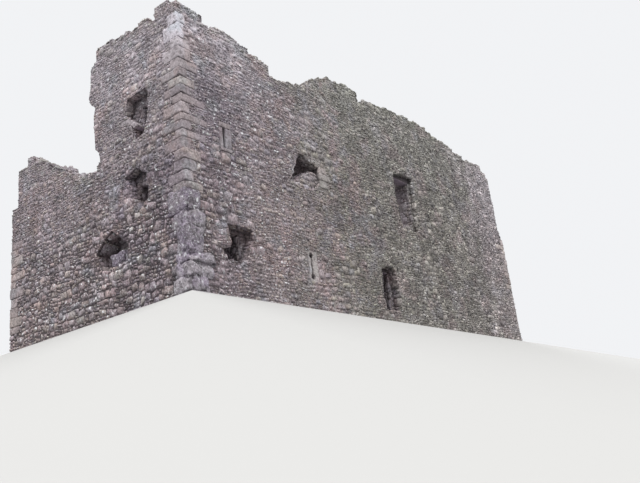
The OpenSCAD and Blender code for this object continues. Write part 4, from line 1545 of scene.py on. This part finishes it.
def mortar_material():
    """Pinkish lime mortar, and the core of the wall."""
    mat, net, shader, _, weather, grain = start_material("lime_mortar_and_core", rough=0.96)
    colour = net.ramp(weather["Patch"], MORTAR_TONES)
    colour = layer(net, colour, weather["Bleach"], 0.4, BLEACHED)
    colour = layer(net, colour, weather["Robbed"], 0.75, EMPTY_JOINT)
    colour = weathered(net, colour, weather)
    # Pits of painted shade.
    colour = layer(net, colour, grain.outputs["Pit"], 0.8, PIT_SHADE)
    # Deep faces in an opening get painted fill light.
    colour = layer(net, colour, weather["Shade"], 0.5, PAINTED_FILL_LIGHT)
    finish_material(net, shader, colour, grain, depth=0.05, coarse=14.0)
    return mat


MORTAR = mortar_material()
print(MORTAR.name, len(MORTAR.node_tree.nodes), "nodes")

# %% [markdown]
# ## Dressed sandstone
#
# The corner stones and surrounds are of one quarry, so their tones lie close together.
# High up they are bleached nearly white. The slabs of the gunloop and the curved stone
# in the end window are paler than the rest, so the same recipe takes other tones. The
# sides of narrow slots get a near-black painted shade, and undersides under a lintel a
# purplish painted shade.

# %% The dressed stones' materials
# A near-black painted shade for the sides of slots, and a purplish painted shade for undersides.
PAINTED_SLOT_SHADE = (0.05, 0.04, 0.047, 1)
GLOOM = (0.36, 0.3, 0.37, 1)
STREAKED = (0.24, 0.21, 0.205, 1)
RAIN_WASHED = (0.66, 0.635, 0.65, 1)
# The sandstone's pits are painted shade.
SAND_PIT_SHADE = (0.13, 0.11, 0.11, 1)
CORNER_TONES = [
    (0.0, (0.33, 0.29, 0.285)), (0.3, (0.385, 0.345, 0.335)), (0.65, (0.425, 0.38, 0.365)),
    (1.0, (0.49, 0.44, 0.425)),
]
SLAB_TONES = [(0.0, (0.46, 0.42, 0.405)), (1.0, (0.6, 0.55, 0.53))]


def freestone_material(name, tones):
    """Dressed sandstone of those tones, streaked and rain-washed, with painted shade in slots and under
    lintels.
    """
    mat, net, shader, pick, weather, grain = start_material(name, rough=0.9)
    colour = own_hue(net, pick, net.ramp(pick, tones), 0.5)
    colour = layer(net, colour, weather["Grime"], 0.5, STREAKED)
    colour = layer(net, colour, number_of(net, "crown"), 0.9, RAIN_WASHED)
    colour = weathered(net, colour, weather, mottle=0.85)
    # Flecks, partly painted glints, and pits of painted shade.
    colour = layer(net, colour, grain.outputs["Fleck"], 0.3, FLECK_AND_GLINT)
    colour = layer(net, colour, grain.outputs["Pit"], 0.55, SAND_PIT_SHADE)
    # Painted shade on the sides of narrow slots and under lintels.
    colour = layer(net, colour, weather["Slot"], 0.85, PAINTED_SLOT_SHADE)
    colour = layer(net, colour, weather["Over"], 0.8, GLOOM)
    finish_material(net, shader, colour, grain, depth=0.035, coarse=8.0)
    return mat


FREESTONE = freestone_material("dressed_sandstone", CORNER_TONES)
PALE_STONE = freestone_material("pale_sandstone", SLAB_TONES)
print(FREESTONE.name, "and", PALE_STONE.name, len(FREESTONE.node_tree.nodes), "nodes each")

# %% [markdown]
# ## Blue-grey boulders
#
# The near corner's foot rests on big blue-grey boulders, freckled all over with pale
# specks and lichen. They are of another rock, so they get a cooler ramp, deeper bumps
# and much more fleck than the rest.

# %% The boulders' material
VIOLET = (0.9, 0.85, 0.965, 1)
BLUE_GRIME = (0.21, 0.18, 0.195, 1)
FRECKLE = (0.72, 0.7, 0.74, 1)
BOULDER_TONES = [
    (0.0, (0.25, 0.222, 0.25)), (0.5, (0.33, 0.297, 0.325)), (1.0, (0.4, 0.365, 0.385)),
]


def bluestone_material():
    """Blue-grey rock with violet patches, pale freckles and lichen."""
    mat, net, shader, pick, weather, grain = start_material("blue_grey_boulder", rough=0.9)
    colour = layer(net, net.ramp(pick, BOULDER_TONES), weather["Grime"], 0.6, BLUE_GRIME)
    violet = net.patches(net.place(), 1.6, 0.42, 0.6, 3.0, 0.6, offset=23.0)
    colour = net.mix(violet, colour, VIOLET, "MULTIPLY")
    colour = net.mix(1.0, colour, weather["Mottle"], "MULTIPLY")
    colour = layer(net, colour, grain.outputs["Fleck"], 0.85, FRECKLE)
    # Pits of painted shade.
    colour = layer(net, colour, grain.outputs["Pit"], 0.6, PIT_SHADE)
    colour = layer(net, colour, grain.outputs["Lichen"], 0.85, LICHEN)
    finish_material(net, shader, colour, grain, depth=0.06, coarse=8.0)
    return mat


BLUESTONE = bluestone_material()
print(BLUESTONE.name, len(BLUESTONE.node_tree.nodes), "nodes")

# %% [markdown]
# ## Flagstones
#
# The hall and the basement are paved with worn slabs. Such a floor is flat, so a Brick
# Texture in the material does it without a mesh. A noise bends its coordinates, so that
# no joint is ruler straight, and the joints hold dirt and moss and dip in the bump.

# %% The flagstones' material
SLAB_LONG, SLAB_DEEP, SLAB_JOINT = 0.85, 0.55, 0.018
SLAB_BEND, BEND_SCALE = 0.09, 1.1
SLAB_DARK = (0.235, 0.215, 0.21, 1)
SLAB_LIGHT = (0.35, 0.325, 0.31, 1)
SLAB_JOINT_DIRT = (0.12, 0.12, 0.08, 1)
SLAB_DIRT = (0.15, 0.15, 0.105, 1)


def bent_place(net):
    """The place on the paving, and the same bent a little by a slow noise."""
    place = net.place()
    slow = net.node("ShaderNodeTexNoise")
    net.put(slow.inputs["Vector"], place)
    slow.inputs["Scale"].default_value = BEND_SCALE
    bend = net.node("ShaderNodeVectorMath", operation="MULTIPLY_ADD")
    net.put(bend.inputs[0], slow.outputs["Color"])
    bend.inputs[1].default_value = (SLAB_BEND, SLAB_BEND, 0)
    net.put(bend.inputs[2], place)
    return place, bend.outputs[0]


def slab_pattern(net, place):
    """Slabs of two tones with dirty joints."""
    slabs = net.node("ShaderNodeTexBrick", offset=0.37, squash=0.8, squash_frequency=3)
    given = {
        "Vector": place, "Scale": 1.0, "Brick Width": SLAB_LONG, "Row Height": SLAB_DEEP,
        "Mortar Size": SLAB_JOINT, "Mortar Smooth": 0.4,
        "Color1": SLAB_DARK, "Color2": SLAB_LIGHT, "Mortar": SLAB_JOINT_DIRT,
    }
    for key, value in given.items():
        net.put(slabs.inputs[key], value)
    return slabs.outputs


def flagstone_material():
    """Worn slabs with dirt on them and in their joints."""
    mat, net, shader, _, weather, grain = start_material("worn_flagstones", rough=0.9)
    place, bent = bent_place(net)
    slabs = slab_pattern(net, bent)
    colour = layer(net, slabs["Color"], weather["Grime"], 0.5, SLAB_DIRT)
    dirt = net.patches(place, 1.9, 0.48, 0.62, 4.0, 0.65, offset=21.0)
    colour = layer(net, colour, dirt, 0.7, SLAB_DIRT)
    colour = net.mix(1.0, colour, weather["Mottle"], "MULTIPLY")
    joints = net.node("ShaderNodeBump", invert=True)
    net.put(joints.inputs["Height"], slabs["Fac"])
    joints.inputs["Distance"].default_value = SLAB_JOINT
    net.put(joints.inputs["Normal"], grain.outputs["Normal"])
    finish_material(net, shader, colour, grain, depth=0.016, coarse=7.0)
    net.put(shader.inputs["Normal"], joints.outputs[0])
    return mat


FLAGSTONE = flagstone_material()
print(FLAGSTONE.name, len(FLAGSTONE.node_tree.nodes), "nodes")

# %% [markdown]
# ## Materials on the model's own pieces
#
# Every solid that stays in view gets a finish. The walls and the vault show as mortar
# between the stones, the floors as flagstones, and all else is dressed stone or boulder.

# %% Give each solid its material
OWN_MATERIAL = {
    "basement_vault": MORTAR, "basement_floor": FLAGSTONE, "hall_paving": FLAGSTONE,
    "corner_foot_stones": BLUESTONE, "hollow_boulder": BLUESTONE,
    "gunloop_slabs": PALE_STONE, "end_window_arch_stone": PALE_STONE,
}
for node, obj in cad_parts.items():
    obj.data.materials.clear()
    obj.data.materials.append(MORTAR if node in WALLS else OWN_MATERIAL.get(node, FREESTONE))
print(len(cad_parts), "solids have their materials")

# %% Turn the heaps into pieces
for kind, heap in heaps.items():
    heap.piece(kind, RUBBLE, "rubble")

# %% [markdown]
# ## Dress the corner stones, surrounds and boulders
#
# Each of these replaces plain blocks of the model. Small surrounds are worn less than
# corner stones, and the boulders are worn round and grown until they touch.

# %% Worn stones in place of the plain blocks
FINE_WEAR = {"worn": 0.016, "rough": 0.01}
DRESSED = (
    # node, piece, how its wear differs
    ("near_quoins", "near_corner_stones", {}),
    ("far_front_quoins", "far_corner_stones", {}),
    ("back_quoins", "back_corner_stones", {}),
    ("slit_surround", "slit_stones", {"worn": 0.018, "rough": 0.014}),
    ("doorway_lintel", "doorway_lintel_stone", {}),
    ("doorway_threshold", "doorway_threshold_stone", {}),
    ("breach_jamb_stones", "breach_side_stones", {}),
    ("hall_window_lintel", "hall_window_lintel_stone", {}),
    ("back_window_surrounds", "back_window_stones", FINE_WEAR),
    ("right_end_window_surround", "right_end_window_stones", FINE_WEAR),
)
for node, name, wear in DRESSED:
    dressed(node, name, FREESTONE, "freestone", **wear)
dressed(
    "corner_foot_stones", "corner_boulders", BLUESTONE, "bluestone",
    worn=0.11, rough=0.13, askew=0.03, grow=0.05,
)
dressed("hollow_boulder", "boulder_in_hollow", BLUESTONE, "bluestone", worn=0.16, rough=0.12, askew=0.05)

# %% [markdown]
# ## Wear the slabs that keep their cut shape
#
# The gunloop's slabs have a slot with round ends cut through them, and the end window
# keeps a curved stone. A block can't stand in for these, so the solids stay, and
# modifiers wear them: a fine voxel remesh gives them points to move, and a cloud
# texture displaces those.

# %% Remesh and displace the cut slabs
FINEST, WORN_LUMP, WORN_BY, WORN_MIDDLE = 0.014, 0.13, 0.024, 0.4
lumps = bpy.data.textures.new("worn_lumps", "CLOUDS")
lumps.noise_scale = WORN_LUMP
for node in ("gunloop_slabs", "end_window_arch_stone"):
    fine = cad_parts[node].modifiers.new("fine_mesh", "REMESH")
    fine.mode = "VOXEL"
    fine.voxel_size = FINEST
    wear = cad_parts[node].modifiers.new("wear", "DISPLACE")
    wear.texture = lumps
    wear.texture_coords = "LOCAL"
    wear.strength = WORN_BY
    wear.mid_level = WORN_MIDDLE
    print(node, "is worn uneven within", WORN_BY, "m")

# %% [markdown]
# ## Floor
#
# The camera looks up at the keep from below, so a level floor would hide the foot of the
# walls. This plain pale one is level behind the keep and falls away in front of it and to
# its left. It is a fine grid near the keep, so that the fold is soft, and its squares
# widen towards the horizon.

# %% Shape the floor
FALL = 0.45
APRON = 0.12
REACH, FAR_FROM, NEAR_REACH = 120.0, 12.0, 11.9
FAR_LINES, NEAR_LINES = 24, 120


def floor_height(x, y):
    """Height of the floor: level, and falling past the front and the left end."""
    out_x = np.maximum(KEEP_LOW[0] - APRON - x, 0)
    out_y = np.maximum(KEEP_LOW[1] - APRON - y, 0)
    return -FALL * np.hypot(out_x, out_y)


def floor_grid():
    """Points and squares of the floor, close together near the keep."""
    far = np.geomspace(FAR_FROM, REACH, FAR_LINES)
    side = np.concatenate([-far[::-1], np.linspace(-NEAR_REACH, NEAR_REACH, NEAR_LINES), far])
    lines_x = np.sort(np.append(side, [KEEP_LOW[0] - APRON]))
    lines_y = np.sort(np.append(side, [KEEP_LOW[1] - APRON]))
    x, y = np.meshgrid(lines_x, lines_y, indexing="ij")
    points = np.stack([x, y, floor_height(x, y)], -1).reshape(-1, 3)
    return points, grid_squares(len(lines_x), len(lines_y))


print("the floor falls", FALL, "m for each metre")

# %% Make the floor
PALE_FLOOR = (0.46, 0.455, 0.44, 1)


def make_floor():
    """The floor as one mesh, which shows and takes shadows but throws no colour."""
    points, faces = floor_grid()
    me = bpy.data.meshes.new("floor")
    me.from_pydata(points.tolist(), [], faces.tolist())
    obj = into_scene("floor", me)
    mat, shader = new_material("pale_floor", rough=1.0)
    shader.inputs["Base Color"].default_value = PALE_FLOOR
    me.materials.append(mat)
    obj.visible_diffuse = False
    me.polygons.foreach_set("use_smooth", np.ones(len(faces), bool))
    obj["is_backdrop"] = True
    print("floor:", len(faces), "squares")


make_floor()

# %% [markdown]
# ## Light
#
# Overcast daylight comes softly from all of the upper half, and much less comes back
# from below. The world gives both as a smooth change from dark below to light above,
# while the camera itself sees a plain pale backdrop. One very soft sun gives the left end
# and the heads their faint modelling.

# %% Backdrop and daylight
FROM_ABOVE, FROM_BELOW, SEEN = 1.42, 0.36, 0.95
TURNS_LIGHT = (-0.15, 0.2)
DAYLIGHT = (0.93, 0.94, 0.96, 1)


def backdrop():
    """A pale backdrop that lights the keep as an overcast day does."""
    world = bpy.data.worlds.new("pale_backdrop")
    bpy.context.scene.world = world
    world.use_nodes = True
    net = Recipe(world.node_tree)
    upward = net.split(net.node("ShaderNodeTexCoord").outputs["Generated"])[2]
    lit = net.spread(upward, *TURNS_LIGHT, FROM_BELOW, FROM_ABOVE)
    seen = net.node("ShaderNodeLightPath").outputs["Is Camera Ray"]
    shader = world.node_tree.nodes["Background"]
    shader.inputs["Color"].default_value = DAYLIGHT
    net.put(shader.inputs["Strength"], net.spread(seen, 0.0, 1.0, lit, SEEN))


backdrop()
print("light from above", FROM_ABOVE, "and from below", FROM_BELOW)

# %% A soft sun
SUN_ENERGY, SUN_SOFTNESS = 1.65, math.radians(30)
SUN_AZIMUTH, SUN_HEIGHT = math.radians(-47), math.radians(58)


def sun():
    """A very soft lamp far away. Azimuth 0 shines from the front, 90 from the right."""
    lamp = bpy.data.lights.new("high_soft_light", "SUN")
    lamp.energy = SUN_ENERGY
    lamp.angle = SUN_SOFTNESS
    obj = into_scene("high_soft_light", lamp)
    out = math.cos(SUN_HEIGHT)
    towards = Vector((math.sin(SUN_AZIMUTH) * out, -math.cos(SUN_AZIMUTH) * out, math.sin(SUN_HEIGHT)))
    obj.rotation_mode = "QUATERNION"
    obj.rotation_quaternion = towards.to_track_quat("Z", "Y")


sun()
bpy.context.scene.view_settings.view_transform = "Standard"
print("lamps:", len(bpy.data.lights))

# %% [markdown]
# ## Camera
#
# The view is from below the near corner, up along the front wall, with the camera leaning
# a little to one side. The bed joints of the corner stones on both faces gave the
# direction and the lens, and the height of those stones gave the distance. The turn is
# built from its three directions, which avoids any doubt about the order of angles.

# %% Set the camera
YAW, PITCH, ROLL = (math.radians(a) for a in (53.8, 17.4, -6.8))
FROM_CORNER = Vector((-12.3075, -13.3163, -4.6227))
FOCAL_PIXELS, IMAGE_WIDTH, SENSOR = 700.0, 640.0, 36.0
SEES_TO = 500

forward = Vector((math.sin(YAW) * math.cos(PITCH), math.cos(YAW) * math.cos(PITCH), math.sin(PITCH)))
level = Vector((math.cos(YAW), -math.sin(YAW), 0))
up = level.cross(forward)
right = math.cos(ROLL) * level + math.sin(ROLL) * up
above = math.cos(ROLL) * up - math.sin(ROLL) * level
lens = bpy.data.cameras.new("camera")
lens.sensor_width = SENSOR
lens.lens = SENSOR * FOCAL_PIXELS / IMAGE_WIDTH
lens.clip_end = SEES_TO
camera = into_scene("camera", lens)
turned = Matrix((right, above, -forward)).transposed().to_4x4()
camera.matrix_world = Matrix.Translation(Vector(KEEP_LOW) + FROM_CORNER) @ turned
bpy.context.scene.camera = camera
print(f"lens {lens.lens:.1f} mm, {FROM_CORNER.length:.1f} m from the near corner")

# %% [markdown]
# ## Sizes
#
# Stones that stand proud make the dressed keep a little larger than the bare one. The
# two boxes are printed side by side.

# %% Print the sizes and finish
dressed_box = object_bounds()
for axis in range(3):
    bare = cad_box[1][axis] - cad_box[0][axis]
    full = dressed_box[1][axis] - dressed_box[0][axis]
    print(f"{'xyz'[axis]}: {bare:.3f} m bare, {full:.3f} m dressed")
